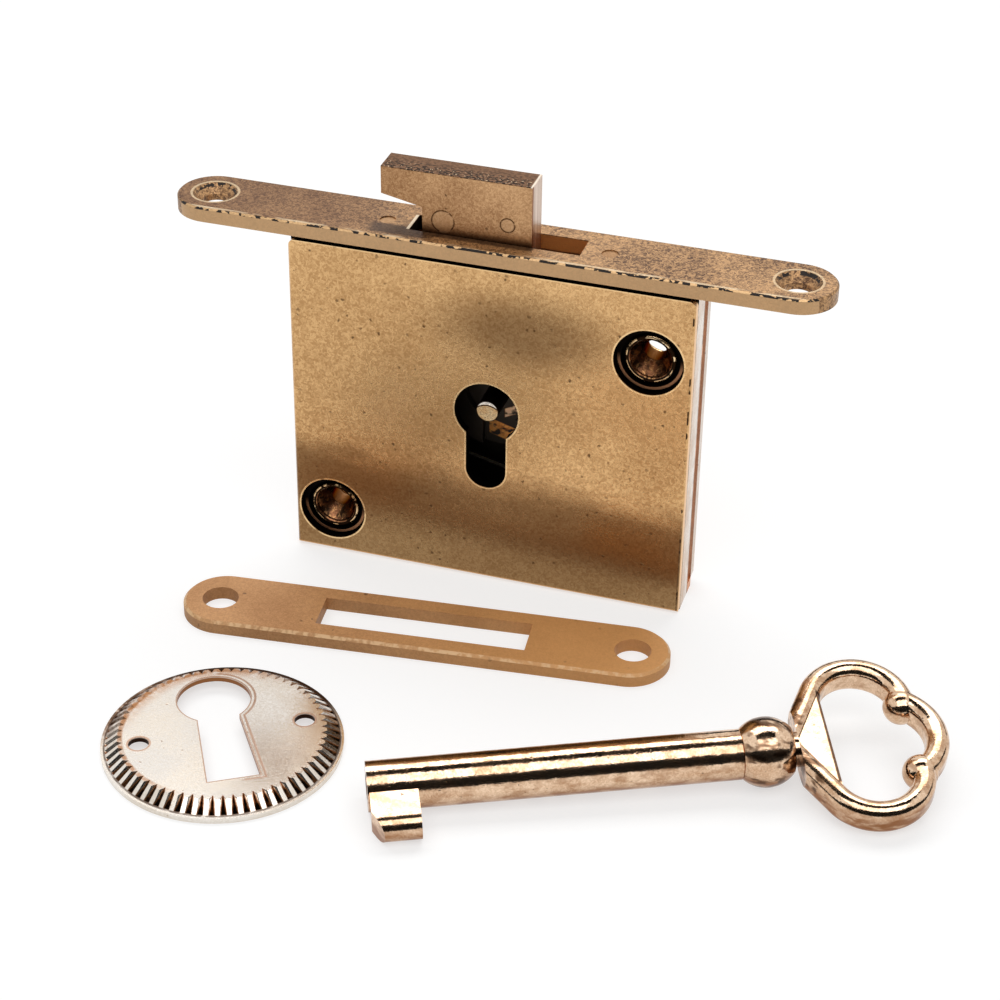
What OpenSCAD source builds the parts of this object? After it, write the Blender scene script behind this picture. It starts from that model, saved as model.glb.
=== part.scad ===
// Chest lock set: a full-mortise lock with a hook bolt, its strike plate,
// a round escutcheon and a barrel key, laid out on a table.
// X runs along the lock's top plate, Y goes from its face to its back, Z is up.
// The origin is on the table, under the middle of the lock.

/* [Top plate] */
// Length of the plate, end to end
selvedge_l = 88.9; // [86:0.1:100]
// Width of the plate, front to back
selvedge_w = 10; // [9.6:0.1:13]
// Thickness of the plate
selvedge_t = 2.1; // [1.7:0.1:2.6]
// Distance between the two screw holes
screw_spacing = 78.8; // [74:0.1:79]
// Diameter of the screw holes
screw_hole_d = 3.6; // [3:0.1:4]
// Diameter of the countersinks at the top of the plate
screw_sink_d = 6; // [5:0.1:6.6]
// Chamfer round the top of the plate
selvedge_chamfer = 0.25; // [0.1:0.05:0.5]

/* [Case] */
// Width of the case
case_w = 55; // [54:0.5:62]
// Height of the case, from the table to the top plate
case_h = 48.7; // [46:0.1:56]
// Thickness of the case, from its face to its back
case_t = 9.2; // [9:0.1:9.6]
// Thickness of the front cover
cover_t = 1.3; // [1.1:0.05:1.4]
// Gap between the front cover and the top plate
cover_gap = 0.7; // [0.6:0.1:1.6]
// Corner radius at the top of the front cover
cover_corner_r = 1.1; // [1:0.1:4]
// Height of the front cover's lower edge
cover_lift = 0.3; // [0.1:0.1:1]
// Thickness of the frame's side walls
side_wall = 1.3; // [1:0.1:1.6]
// Thickness of the frame's bottom wall
bottom_wall = 2.4; // [2:0.1:3]
// Thickness of the frame's top wall
top_wall = 1.5; // [1.2:0.1:1.8]
// Depth of the rear case
rear_depth = 1.85; // [1.7:0.05:2.2]
// Thickness of the rear case's back
rear_back_t = 1.3; // [1.2:0.05:1.4]
// Height of the rear case's lower edge
rear_lift = 1.4; // [0.8:0.1:1.6]
// Width of the groove along the frame's sides
groove_w = 1.9; // [1:0.1:2.4]
// Depth of the groove along the frame's sides
groove_depth = 0.35; // [0.2:0.05:0.6]
// Chamfer along the outer edges of the front cover and the rear case
edge_chamfer = 0.25; // [0.1:0.05:0.4]

/* [Keyhole] */
// Distance from the top of the lock down to the key's axis
pin_drop = 24.2; // [24:0.1:24.6]
// Diameter of the round part of the keyhole
keyhole_d = 8.9; // [8:0.1:9.4]
// Width of the keyhole's slot
keyhole_slot_w = 5.6; // [5:0.1:6]
// Distance from the key's axis to the bottom of the slot
keyhole_reach = 11.7; // [10:0.1:13]

/* [Hollow rivets] */
// Distance from the case's right side to the upper rivet
rivet_upper_in = 5.8; // [5.4:0.1:6]
// Distance from the case's top to the upper rivet
rivet_upper_down = 10.5; // [9.8:0.1:10.8]
// Distance from the case's left side to the lower rivet
rivet_lower_in = 5.3; // [5:0.1:7]
// Height of the lower rivet
rivet_lower_up = 6.9; // [6.5:0.1:9]
// Diameter of the recess round a rivet, at the face
recess_d = 9.4; // [8.6:0.1:9.8]
// Depth of the recess, down to the top of the rivet
recess_depth = 1; // [0.8:0.05:1.1]
// Gap round the rivet's rolled flange in its seat
rivet_groove = 0.4; // [0.3:0.05:0.5]
// Thickness of the cover's dish under the rivet's flange
dish_floor_t = 0.5; // [0.4:0.05:0.6]
// Clearance round the cover's dish in the pillar
dish_clear = 0.1; // [0.05:0.05:0.2]
// How deep the rivet sits in the back of the case
rivet_back_sink = 0.4; // [0.2:0.1:0.5]
// Diameter of the rivet's rolled flange
rivet_flange_d = 7; // [6.8:0.1:7.2]
// Thickness of the rivet's rolled flange
rivet_flange_t = 0.8; // [0.6:0.1:0.9]
// Outer diameter of the rivet's tube
rivet_tube_d = 6; // [5.8:0.1:6.2]
// Bore of the rivet at its waist
rivet_bore_d = 2.9; // [2.6:0.1:3.2]
// Length of the straight bore between the two flared mouths
rivet_bore_l = 2.4; // [1.8:0.1:3]
// Outer diameter of the pillars that the rivets pass through
pillar_d = 8.4; // [8:0.1:8.6]
// Height of the web between a pillar and the side wall
pillar_web_h = 6; // [4:0.1:7]

/* [Hook bolt] */
// Thickness of the hook bolt
bolt_t = 4.1; // [3.8:0.1:4.3]
// Width of the bolt where it passes the top plate
shank_w = 14.8; // [14.4:0.1:15.4]
// Distance from the middle to the bolt's right side
shank_right = 5.1; // [4.8:0.1:5.4]
// How far the hook reaches past the shank
hook_reach = 5.6; // [4:0.1:5.8]
// Height of the bolt above the top plate
bolt_rise = 8.4; // [7.6:0.1:8.5]
// Height of the hook's lip above the top plate, at its tip
lip_tip = 4.55; // [4:0.05:5]
// Height of the hook's lip above the top plate, at the shank
lip_root = 3.4; // [3:0.05:3.8]
// Depth that the shank reaches below the top plate
shank_drop = 1.9; // [1.7:0.1:2.1]
// Wall of the shank beside its fork
fork_wall = 0.8; // [0.6:0.1:1]
// Clearance between the bolt and the slot in the top plate, each side
bolt_clear = 0.15; // [0.1:0.05:0.3]
// Clearance between the bolt and the ends of the slot
slot_end_clear = 0.4; // [0.3:0.05:0.8]
// Distance of the large rivet to the left of the middle
bolt_rivet_big_left = 6.9; // [6.4:0.1:7]
// Height of the large rivet above the top plate
bolt_rivet_big_rise = 1.8; // [1.7:0.1:2.4]
// Diameter of the large rivet through the bolt
bolt_rivet_big_d = 3.2; // [2.6:0.1:3.4]
// Distance of the small rivet to the right of the middle
bolt_rivet_small_right = 1.8; // [1:0.1:2.4]
// Height of the small rivet above the top plate
bolt_rivet_small_rise = 2.6; // [2:0.1:3]
// Diameter of the small rivet through the bolt
bolt_rivet_small_d = 2.1; // [1.6:0.1:2.6]

/* [Bolt plate] */
// Thickness of the plate that carries the bolt
plate_t = 2; // [1.6:0.1:2.2]
// Height of the plate's tongue above the top plate
tongue_rise = 4.6; // [4.4:0.1:5.2]
// Gap between the plate's shoulders and the case's top wall
shoulder_gap = 0.6; // [0.4:0.1:0.8]
// Wall of the plate beside its slots
plate_wall = 1.2; // [1:0.1:1.3]
// Clearance round the guide post in its curved slot
guide_clear = 0.35; // [0.3:0.05:0.5]
// Clearance round the key's barrel in its curved window
window_clear = 0.35; // [0.2:0.05:0.4]

/* [Driver] */
// Radius of the circle that the bolt moves on
throw_r = 6; // [5.9:0.1:6.2]
// Angle that the driver turns
throw_deg = 116; // [112:1:117]
// Radius of the driver
driver_r = 8.8; // [8.4:0.1:9.2]
// Thickness of the driver's disc
driver_disc_t = 0.7; // [0.6:0.05:0.8]
// Clearance behind the driver
driver_back_clear = 0.15; // [0.1:0.05:0.2]
// Clearance between the driver's ring and the bolt plate
driver_front_clear = 0.3; // [0.2:0.05:0.4]
// Clearance each side of the key's bit in the driver's ring
bit_clear = 0.4; // [0.2:0.05:0.6]
// Diameter of the crank pin
crank_pin_d = 2.4; // [2:0.1:2.6]
// Length of the crank pin past the bolt plate
crank_pin_proud = 0.3; // [0.2:0.05:0.6]
// Running clearance of the pins, on the radius
pin_clear = 0.05; // [0.02:0.01:0.08]

/* [Pins] */
// Diameter of the pin that the key slides on
drill_pin_d = 3.1; // [2.8:0.1:3.3]
// How far the drill pin ends behind the face of the case
drill_pin_back = 0.5; // [0.2:0.1:2]
// Diameter of the guide post
guide_post_d = 3.2; // [2.8:0.1:3.4]
// Distance of the guide post to the right of the key's axis
guide_post_right = 8.6; // [8.4:0.1:8.8]
// Height of the guide post above the key's axis
guide_post_up = 8.4; // [8.2:0.1:8.6]
// Diameter of the rivets that hold the top plate
plate_rivet_d = 2.2; // [1.8:0.1:2.6]
// Distance of those rivets from the middle
plate_rivet_x = 15; // [14.8:0.1:16]
// How far those rivets lie in front of the middle
plate_rivet_front = 0.4; // [0:0.1:0.6]
// How deep those rivets are set below the plate's top
plate_rivet_dimple = 0.15; // [0.05:0.05:0.3]
// Length of those rivets below the plate
plate_rivet_drop = 4.2; // [3:0.1:4.4]
// Wall round those rivets
plate_rivet_wall = 1.1; // [0.8:0.1:1.2]

/* [Friction spring] */
// Thickness of the spring
spring_t = 0.35; // [0.25:0.05:0.45]
// Width of the spring
spring_w = 4; // [3:0.1:4.4]
// Length of the spring's bow
spring_bow_l = 7.2; // [6.4:0.1:7.4]
// Gap between the spring's bow and the front cover
spring_clear = 0.3; // [0.2:0.05:0.5]
// Length of the spring's foot
spring_foot_l = 1.8; // [1.7:0.1:2]
// Distance from the spring's middle to the case's top
spring_drop = 5.9; // [5.6:0.1:6.2]
// Diameter of the rivet in the spring's foot
spring_rivet_d = 0.9; // [0.7:0.1:1.1]
// Diameter of that rivet's head
spring_rivet_head_d = 1.6; // [1.4:0.1:1.7]
// Height of that rivet's head
spring_rivet_head_t = 0.4; // [0.3:0.05:0.6]

/* [Strike plate] */
// Length of the strike plate
strike_l = 66.4; // [66:0.1:72]
// Width of the strike plate
strike_w = 11.2; // [10:0.1:13]
// Thickness of the strike plate
strike_t = 1.9; // [1.4:0.1:2.4]
// Distance between the strike plate's holes
strike_hole_spacing = 56.4; // [52:0.1:57]
// Diameter of the strike plate's holes
strike_hole_d = 4.9; // [3.6:0.1:5.2]
// Length of the strike plate's slot
strike_slot_l = 28.4; // [27:0.1:34]
// Width of the strike plate's slot
strike_slot_w = 6; // [5.4:0.1:6.6]
// Chamfer round the top of the strike plate
strike_chamfer = 0.35; // [0.2:0.05:0.6]
// Where the strike plate lies, left to right
strike_x = -3.6; // [-8:0.1:2]
// Where the strike plate lies, in front of the lock's middle
strike_front = 19.9; // [19:0.1:22]
// How far the strike plate is turned
strike_turn = 6; // [0:0.5:8]

/* [Escutcheon] */
// Diameter of the escutcheon
esc_d = 30.5; // [29:0.1:33]
// Height of the escutcheon's flat top
esc_h = 2.1; // [1.7:0.1:2.6]
// Thickness of its sheet
esc_sheet = 0.75; // [0.6:0.05:0.9]
// Width of the plain flange round it
esc_flange_w = 0.4; // [0.3:0.05:0.7]
// Width of the ribbed slope
esc_slope_w = 1.7; // [1.4:0.1:2]
// Number of grooves round the slope
esc_grooves = 64; // [40:1:72]
// Width of one groove, twice its depth
esc_groove_w = 0.8; // [0.5:0.05:0.9]
// Distance from the foot of the slope to the grooves
esc_groove_foot = 0.2; // [0.1:0.05:0.4]
// Diameter of the keyhole's round part
esc_hole_d = 9.4; // [8:0.1:9.8]
// Distance from the middle to the centre of that round part
esc_hole_up = 6.9; // [5:0.1:7.2]
// Width of the keyhole's slot at the centre of the round part
esc_neck_w = 4.9; // [4.2:0.1:6]
// Width of the keyhole at its foot
esc_foot_w = 6.6; // [5:0.1:8]
// Distance from the middle to the foot
esc_foot_down = 9.4; // [8:0.1:10.6]
// Distance between the pin holes
esc_pin_spacing = 21; // [19:0.1:22]
// Diameter of the pin holes
esc_pin_d = 2.6; // [2:0.1:3]
// Where the escutcheon lies, left to right
esc_x = -20.1; // [-24:0.1:-19]
// Where the escutcheon lies, in front of the lock's middle
esc_front = 50; // [47:0.1:56]
// How far the escutcheon is turned
esc_turn = 31.5; // [0:0.5:60]

/* [Key] */
// Diameter of the key's barrel
barrel_d = 6.3; // [5.7:0.1:6.4]
// Length of the barrel up to the collar
barrel_l = 46; // [42:0.5:52]
// Clearance between the barrel's bore and the drill pin, on the radius
key_clear = 0.1; // [0.05:0.05:0.2]
// Depth of the barrel's bore
key_bore_depth = 14; // [8:0.5:18]
// Length of the bit along the barrel
bit_l = 5.9; // [5:0.1:7]
// Distance from the barrel's end to the bit
bit_inset = 0.2; // [0.1:0.1:2]
// Distance from the key's axis to the end of the bit
bit_reach = 8.2; // [7.4:0.1:8.3]
// Thickness of the bit
bit_t = 3.8; // [3:0.1:3.9]
// Length of the cut at the bit's front corner, along the barrel
bit_cut_l = 1.4; // [0.8:0.1:2]
// Length of that cut, away from the barrel
bit_cut_h = 2.8; // [1.5:0.1:3.4]
// Diameter of the ball collar
collar_d = 8.8; // [8.4:0.1:10]
// Length of the ball collar
collar_l = 6.5; // [5.6:0.1:6.8]
// Diameter of the neck between the collar and the bow
neck_d = 4.4; // [4:0.1:4.8]
// Length of the neck
neck_l = 0.7; // [0.4:0.1:1]
// Width of the bow's rod
bow_rod_w = 2.9; // [2.4:0.1:3.2]
// Height of the bow's rod
bow_rod_h = 4.2; // [3.6:0.1:4.4]
// Distance from the collar to the centres of the bow's side lobes
lobe_run = 9.25; // [8.8:0.05:9.8]
// Radius of the bow's two side lobes, on the rod's middle
lobe_r = 5.95; // [5.6:0.05:6.3]
// Distance from the key's axis to the lobes' centres
lobe_off = 5.5; // [5.1:0.1:6]
// How far the end lobe bulges past the side lobes
end_bulge = 3; // [2.6:0.1:3.4]
// Distance from the key's axis to the two rods that flare out, at the collar
flare_off = 1; // [0.8:0.1:1.2]
// Length from the collar to the end of the flat web between those rods
web_l = 4.7; // [4.2:0.1:5.2]
// Thickness of the web
web_t = 3.2; // [2.8:0.1:3.5]
// Radius of the beads where the lobes meet
bead_r = 2.25; // [2.25:0.05:2.8]
// How far the beads stand inside the bow
bead_in = 0.2; // [0.1:0.1:1]
// Where the key's tip lies, left to right
key_x = 1.2; // [0:0.1:6]
// Where the key's tip lies, in front of the lock's middle
key_front = 55.7; // [54:0.1:60]
// How far the key is turned
key_turn = 24.2; // [20:0.2:28]

/* [Hidden] */
$fn = 64;
eps = 0.01;
brass = [0.78, 0.60, 0.36];
brass_dark = [0.62, 0.46, 0.27];
brass_light = [0.93, 0.83, 0.66];
steel = [0.55, 0.55, 0.56];
key_gold = [0.90, 0.74, 0.48];

// Levels of the lock
top_z = case_h + selvedge_t;
face_y = -case_t / 2;
back_y = case_t / 2;
frame_front_y = face_y + cover_t;
frame_back_y = back_y - rear_depth;
inner_back_y = back_y - rear_back_t;
key_axis_z = top_z - pin_drop;
dish_back_y = face_y + recess_depth + rivet_flange_t + dish_floor_t;
rivet_seat_d = rivet_flange_d + 2 * rivet_groove;
rivet_places = [
    [case_w / 2 - rivet_upper_in, case_h - rivet_upper_down],
    [rivet_lower_in - case_w / 2, rivet_lower_up]
];

// The bolt and its slot at rest, locked
shank_left = shank_right - shank_w;
hook_tip_x = shank_left - hook_reach;
shank_bottom_z = case_h - shank_drop;
slot_right = shank_right + throw_r + slot_end_clear;
slot_half_t = bolt_t / 2 + bolt_clear;
tongue_left = shank_left + fork_wall;
tongue_w = shank_w - 2 * fork_wall;
tongue_top_z = top_z + tongue_rise;
big_rivet = [-bolt_rivet_big_left, top_z + bolt_rivet_big_rise];
small_rivet = [bolt_rivet_small_right, top_z + bolt_rivet_small_rise];

// The bolt plate
plate_top_z = case_h - top_wall - shoulder_gap;
plate_face_y = -plate_t / 2;
crank_z = key_axis_z + throw_r;
guide_post_z = key_axis_z + guide_post_up;
guide_half_w = guide_post_d / 2 + guide_clear;
window_half_w = barrel_d / 2 + window_clear;
crank_boss_r = throw_r - window_half_w;
plate_right = guide_post_right + guide_half_w + plate_wall;
plate_neck_right = guide_post_right - throw_r * sin(throw_deg) + guide_half_w + 2 * plate_wall;
plate_bottom_z = crank_z - crank_boss_r;
window_top_z = crank_z - throw_r * cos(throw_deg) + window_half_w;

// The driver, from back to front
driver_back_y = inner_back_y - driver_back_clear;
driver_disc_y = driver_back_y - driver_disc_t;
driver_front_y = plate_t / 2 + driver_front_clear;
driver_ring_inner_r = throw_r - crank_pin_d / 2 - pin_clear;
driver_gap_w = bit_t + 2 * bit_clear;
crank_tip_y = plate_face_y - crank_pin_proud;

// The friction spring on the bolt plate's face
spring_z = case_h - spring_drop;
spring_rise = plate_face_y - frame_front_y - spring_clear;
spring_bow_r = (spring_bow_l * spring_bow_l / 4 + spring_rise * spring_rise) / (2 * spring_rise);
spring_rivet_x = shank_left + spring_foot_l / 2;

// The key, along its axis from the barrel's end
key_bore_d = drill_pin_d + 2 * key_clear;
collar_mid = barrel_l + collar_l / 2;
collar_end = barrel_l + collar_l;
bow_start = collar_end + neck_l;
lobe_x = collar_end + lobe_run;
lobe_end_x = lobe_x + lobe_r;
end_r = (lobe_off * lobe_off + end_bulge * end_bulge) / (2 * end_bulge);
end_half_deg = asin(lobe_off / end_r);

// The beads' poles lie inside the rods that meet there
bead_deg = 90 + end_half_deg / 2;

// The flaring rods run from the collar to a tangent of the side lobes
flare_span = norm([lobe_run, lobe_off - flare_off]);
flare_deg = atan2(lobe_off - flare_off, lobe_run) + asin(lobe_r / flare_span);
flare_l = sqrt(flare_span * flare_span - lobe_r * lobe_r);
lobe_sweep = 90 + flare_deg;
web_x = collar_end + web_l;
web_y = lobe_off + sqrt(lobe_r * lobe_r - (lobe_x - web_x) * (lobe_x - web_x));

// The key rests on its collar, its barrel's end and its bit or one lobe of its bow
key_pitch = asin((collar_d - barrel_d) / 2 / collar_mid);
bow_axis_z = barrel_d / 2 + lobe_x * sin(key_pitch);
bit_end_mid = bit_reach - bit_t / 2;
key_roll = min(
    asin((barrel_d - bit_t) / 2 / bit_end_mid),
    asin((bow_axis_z - bow_rod_h / 2) / (lobe_off + lobe_r))
);

// Extrudes an X-Z outline between two depths
module slab(y0, y1) {
    translate([0, y1, 0])
        rotate([90, 0, 0])
            linear_extrude(y1 - y0)
                children();
}

// A round bar along Y between two depths, at a place in X and Z
module peg(place, d, y0, y1) {
    translate([place[0], y0, place[1]])
        rotate([-90, 0, 0])
            cylinder(d = d, h = y1 - y0);
}

// A block between two corners
module block(lo, hi) {
    translate(lo)
        cube(hi - lo);
}

// A bar along X, turned on edge, that cuts a chamfer
module chamfer_bar(l) {
    rotate([45, 0, 0])
        cube([l, edge_chamfer * sqrt(2), edge_chamfer * sqrt(2)], center = true);
}

// Chamfers the two sides and the bottom of a case plate at one depth
module plate_chamfers(y, bottom_z) {
    for (side = [-1, 1])
        translate([side * case_w / 2, y, case_h / 2])
            rotate([0, 90, 0])
                chamfer_bar(2 * case_h);
    translate([0, y, bottom_z])
        chamfer_bar(2 * case_w);
}

// A plate with round ends and a chamfered top, lying on Z = 0
module round_ended_plate(l, w, t, c) {
    run = l - w;
    translate([-run / 2, 0, 0])
        rotate([90, 0, 90])
            linear_extrude(run)
                polygon([
                    [-w / 2, 0], [w / 2, 0], [w / 2, t - c],
                    [w / 2 - c, t], [c - w / 2, t], [-w / 2, t - c]
                ]);
    for (side = [-1, 1])
        translate([side * run / 2, 0, 0])
            rotate_extrude()
                polygon([[0, 0], [w / 2, 0], [w / 2, t - c], [w / 2 - c, t], [0, t]]);
}

// A curved slot that a fixed post follows while the bolt swings, from its place at rest
module swing_slot(x, z, half_w) {
    far = 3 * (throw_r + half_w);
    from = 270 - throw_deg;
    mid = 270 - throw_deg / 2;
    translate([x, z + throw_r]) {
        intersection() {
            difference() {
                circle(r = throw_r + half_w);
                circle(r = throw_r - half_w);
            }
            polygon([
                [0, 0], [far * cos(from), far * sin(from)],
                [far * cos(mid), far * sin(mid)], [0, -far]
            ]);
        }
        for (a = [from, 270])
            translate([throw_r * cos(a), throw_r * sin(a)])
                circle(r = half_w);
    }
}

// A tube with a narrow waist, flared and rolled over at each end
module hollow_rivet(place) {
    l = case_t - recess_depth - rivet_back_sink;
    tube_r = rivet_tube_d / 2;
    bore_r = rivet_bore_d / 2;
    roll_r = rivet_flange_t / 2;
    lip_r = rivet_flange_d / 2 - roll_r;
    translate([place[0], face_y + recess_depth, place[1]])
        rotate([-90, 0, 0])
            rotate_extrude() {
                polygon([
                    [bore_r, (l - rivet_bore_l) / 2], [lip_r, roll_r], [tube_r, rivet_flange_t],
                    [tube_r, l - rivet_flange_t], [lip_r, l - roll_r], [bore_r, (l + rivet_bore_l) / 2]
                ]);
                for (end = [roll_r, l - roll_r])
                    translate([lip_r, end])
                        circle(r = roll_r);
            }
}

// The frame between the cover and the rear case: four walls, two pillars and two rivet bosses
module case_frame() {
    boss_half = plate_rivet_d / 2 + plate_rivet_wall;
    color(brass_light)
        difference() {
            union() {
                difference() {
                    block([-case_w / 2, frame_front_y, 0], [case_w / 2, frame_back_y, case_h]);
                    block(
                        [side_wall - case_w / 2, frame_front_y - eps, bottom_wall],
                        [case_w / 2 - side_wall, frame_back_y + eps, case_h - top_wall]
                    );
                }
                for (p = rivet_places) {
                    side = sign(p[0]) * (case_w - side_wall) / 2;
                    peg(p, pillar_d, frame_front_y, frame_back_y);
                    block(
                        [min(p[0], side), frame_front_y, p[1] - pillar_web_h / 2],
                        [max(p[0], side), frame_back_y, p[1] + pillar_web_h / 2]
                    );
                }
                for (side = [-1, 1])
                    translate([side * plate_rivet_x, -plate_rivet_front, 0])
                        block(
                            [-boss_half, -boss_half, case_h - plate_rivet_drop],
                            [boss_half, boss_half, case_h - top_wall / 2]
                        );
            }
            block(
                [-slot_right, -slot_half_t, case_h - top_wall - eps],
                [slot_right, slot_half_t, case_h + eps]
            );
            for (p = rivet_places) {
                peg(p, pillar_d + 2 * dish_clear, frame_front_y - eps, dish_back_y);
                peg(p, rivet_tube_d, frame_front_y - eps, frame_back_y + eps);
            }
            for (side = [-1, 1]) {
                translate([side * plate_rivet_x, -plate_rivet_front, case_h - plate_rivet_drop - eps])
                    cylinder(d = plate_rivet_d, h = plate_rivet_drop + 2 * eps);
                translate([side * case_w / 2, 0, 0])
                    block(
                        [-groove_depth, frame_back_y - groove_w, rear_lift],
                        [groove_depth, frame_back_y + eps, case_h + eps]
                    );
            }
        }
}

// The shallow rear case, with holes for the pins that it carries
module rear_case() {
    color(brass_dark)
        difference() {
            union() {
                difference() {
                    block([-case_w / 2, frame_back_y, rear_lift], [case_w / 2, back_y, case_h]);
                    block(
                        [side_wall - case_w / 2, frame_back_y - eps, bottom_wall],
                        [case_w / 2 - side_wall, inner_back_y, case_h - top_wall]
                    );
                }
                for (p = rivet_places)
                    peg(p, pillar_d, frame_back_y, inner_back_y + eps);
            }
            for (p = rivet_places) {
                peg(p, rivet_seat_d, back_y - rivet_back_sink - rivet_flange_t, back_y + eps);
                peg(p, rivet_tube_d, frame_back_y - eps, back_y);
            }
            peg([0, key_axis_z], drill_pin_d, frame_back_y, back_y + eps);
            peg([guide_post_right, guide_post_z], guide_post_d, frame_back_y, back_y + eps);
            plate_chamfers(back_y, rear_lift);
        }
}

module keyhole_outline() {
    foot_z = key_axis_z - keyhole_reach + keyhole_slot_w / 2;
    translate([0, key_axis_z])
        circle(d = keyhole_d);
    translate([-keyhole_slot_w / 2, foot_z])
        square([keyhole_slot_w, key_axis_z - foot_z]);
    translate([0, foot_z])
        circle(d = keyhole_slot_w);
}

// The front cover, a flat plate with rounded upper corners and the keyhole, dished round the rivets
module front_cover() {
    cover_top_z = case_h - cover_gap;
    shoulder_z = cover_top_z - cover_corner_r;
    corner_x = case_w / 2 - cover_corner_r;
    color(brass)
        difference() {
            union() {
                slab(face_y, frame_front_y)
                    difference() {
                        union() {
                            translate([-case_w / 2, cover_lift])
                                square([case_w, shoulder_z - cover_lift]);
                            translate([-corner_x, cover_lift])
                                square([2 * corner_x, cover_top_z - cover_lift]);
                            for (side = [-1, 1])
                                translate([side * corner_x, shoulder_z])
                                    circle(r = cover_corner_r);
                        }
                        keyhole_outline();
                    }
                for (p = rivet_places)
                    peg(p, pillar_d, frame_front_y - eps, dish_back_y);
            }
            for (p = rivet_places) {
                peg(p, recess_d, face_y - eps, face_y + recess_depth);
                peg(p, rivet_seat_d, face_y, dish_back_y - dish_floor_t);
                peg(p, rivet_tube_d, face_y, dish_back_y + eps);
            }
            plate_chamfers(face_y, cover_lift);
        }
}

// The top plate, with countersunk screw holes and the bolt's slot
module selvedge_plate() {
    sink_z = selvedge_t - (screw_sink_d - screw_hole_d) / 2;
    color(brass)
        translate([0, 0, case_h])
            difference() {
                round_ended_plate(selvedge_l, selvedge_w, selvedge_t, selvedge_chamfer);
                for (side = [-1, 1])
                    translate([side * screw_spacing / 2, 0, 0])
                        rotate_extrude()
                            polygon([
                                [0, -eps], [screw_hole_d / 2, -eps], [screw_hole_d / 2, sink_z],
                                [screw_sink_d / 2, selvedge_t], [screw_sink_d / 2, selvedge_t + eps],
                                [0, selvedge_t + eps]
                            ]);
                block([-slot_right, -slot_half_t, -eps], [slot_right, slot_half_t, selvedge_t + eps]);
                for (side = [-1, 1])
                    translate([side * plate_rivet_x, -plate_rivet_front, -eps])
                        cylinder(d = plate_rivet_d, h = selvedge_t + 2 * eps);
            }
}

// The two rivets that hold the top plate on the frame
module selvedge_rivets() {
    color(brass_dark)
        for (side = [-1, 1])
            translate([side * plate_rivet_x, -plate_rivet_front, case_h - plate_rivet_drop])
                cylinder(d = plate_rivet_d, h = plate_rivet_drop + selvedge_t - plate_rivet_dimple);
}

module hollow_rivet_upper() {
    color(brass_light)
        hollow_rivet(rivet_places[0]);
}

module hollow_rivet_lower() {
    color(brass_light)
        hollow_rivet(rivet_places[1]);
}

// The pin that the key slides on and the driver turns on
module drill_pin() {
    color(steel)
        peg([0, key_axis_z], drill_pin_d, face_y + drill_pin_back, back_y);
}

// The fixed post that keeps the bolt plate upright
module guide_post() {
    color(steel)
        peg([guide_post_right, guide_post_z], guide_post_d, frame_front_y, back_y);
}

// The disc that the key turns, with a ring that takes the bit
module driver_cam() {
    axis = [0, key_axis_z];
    color(brass_dark)
        difference() {
            union() {
                peg(axis, 2 * driver_r, driver_disc_y, driver_back_y);
                difference() {
                    peg(axis, 2 * driver_r, driver_front_y, driver_disc_y);
                    peg(axis, 2 * driver_ring_inner_r, driver_front_y - eps, driver_disc_y);
                    block(
                        [-driver_gap_w / 2, driver_front_y - eps, key_axis_z - 2 * driver_r],
                        [driver_gap_w / 2, driver_disc_y, key_axis_z]
                    );
                }
            }
            peg(axis, drill_pin_d + 2 * pin_clear, driver_disc_y - eps, driver_back_y + eps);
            peg([0, crank_z], crank_pin_d, driver_front_y - eps, driver_back_y + eps);
        }
}

// The pin on the driver that carries the bolt plate
module crank_pin() {
    color(steel)
        peg([0, crank_z], crank_pin_d, crank_tip_y, driver_back_y);
}

// The hook, a thick block with a fork below for the plate's tongue
module hook_bolt() {
    color(brass)
        difference() {
            slab(-bolt_t / 2, bolt_t / 2)
                polygon([
                    [shank_right, shank_bottom_z], [shank_right, top_z + bolt_rise],
                    [hook_tip_x, top_z + bolt_rise], [hook_tip_x, top_z + lip_tip],
                    [shank_left, top_z + lip_root], [shank_left, shank_bottom_z]
                ]);
            block(
                [tongue_left, -plate_t / 2, shank_bottom_z - eps],
                [tongue_left + tongue_w, plate_t / 2, tongue_top_z]
            );
            peg(big_rivet, bolt_rivet_big_d, -bolt_t, bolt_t);
            peg(small_rivet, bolt_rivet_small_d, -bolt_t, bolt_t);
        }
}

// The plate that the crank pin moves: it swings round the post and the key without turning
module bolt_plate() {
    color(brass_dark)
        difference() {
            slab(plate_face_y, -plate_face_y)
                difference() {
                    union() {
                        translate([tongue_left, window_top_z])
                            square([tongue_w, tongue_top_z - window_top_z]);
                        translate([shank_left, window_top_z])
                            square([plate_neck_right - shank_left, plate_top_z - window_top_z]);
                        translate([-crank_boss_r, plate_bottom_z])
                            square([plate_right + crank_boss_r, window_top_z + plate_wall - plate_bottom_z]);
                    }
                    swing_slot(0, key_axis_z, window_half_w);
                    swing_slot(guide_post_right, guide_post_z, guide_half_w);
                }
            peg([0, crank_z], crank_pin_d + 2 * pin_clear, -plate_t, plate_t);
            peg(big_rivet, bolt_rivet_big_d, -plate_t, plate_t);
            peg(small_rivet, bolt_rivet_small_d, -plate_t, plate_t);
            peg([spring_rivet_x, spring_z], spring_rivet_d, -plate_t, plate_t);
        }
}

module bolt_rivet_large() {
    color(brass_light)
        peg(big_rivet, bolt_rivet_big_d, -bolt_t / 2, bolt_t / 2);
}

module bolt_rivet_small() {
    color(brass_light)
        peg(small_rivet, bolt_rivet_small_d, -bolt_t / 2, bolt_t / 2);
}

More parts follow.
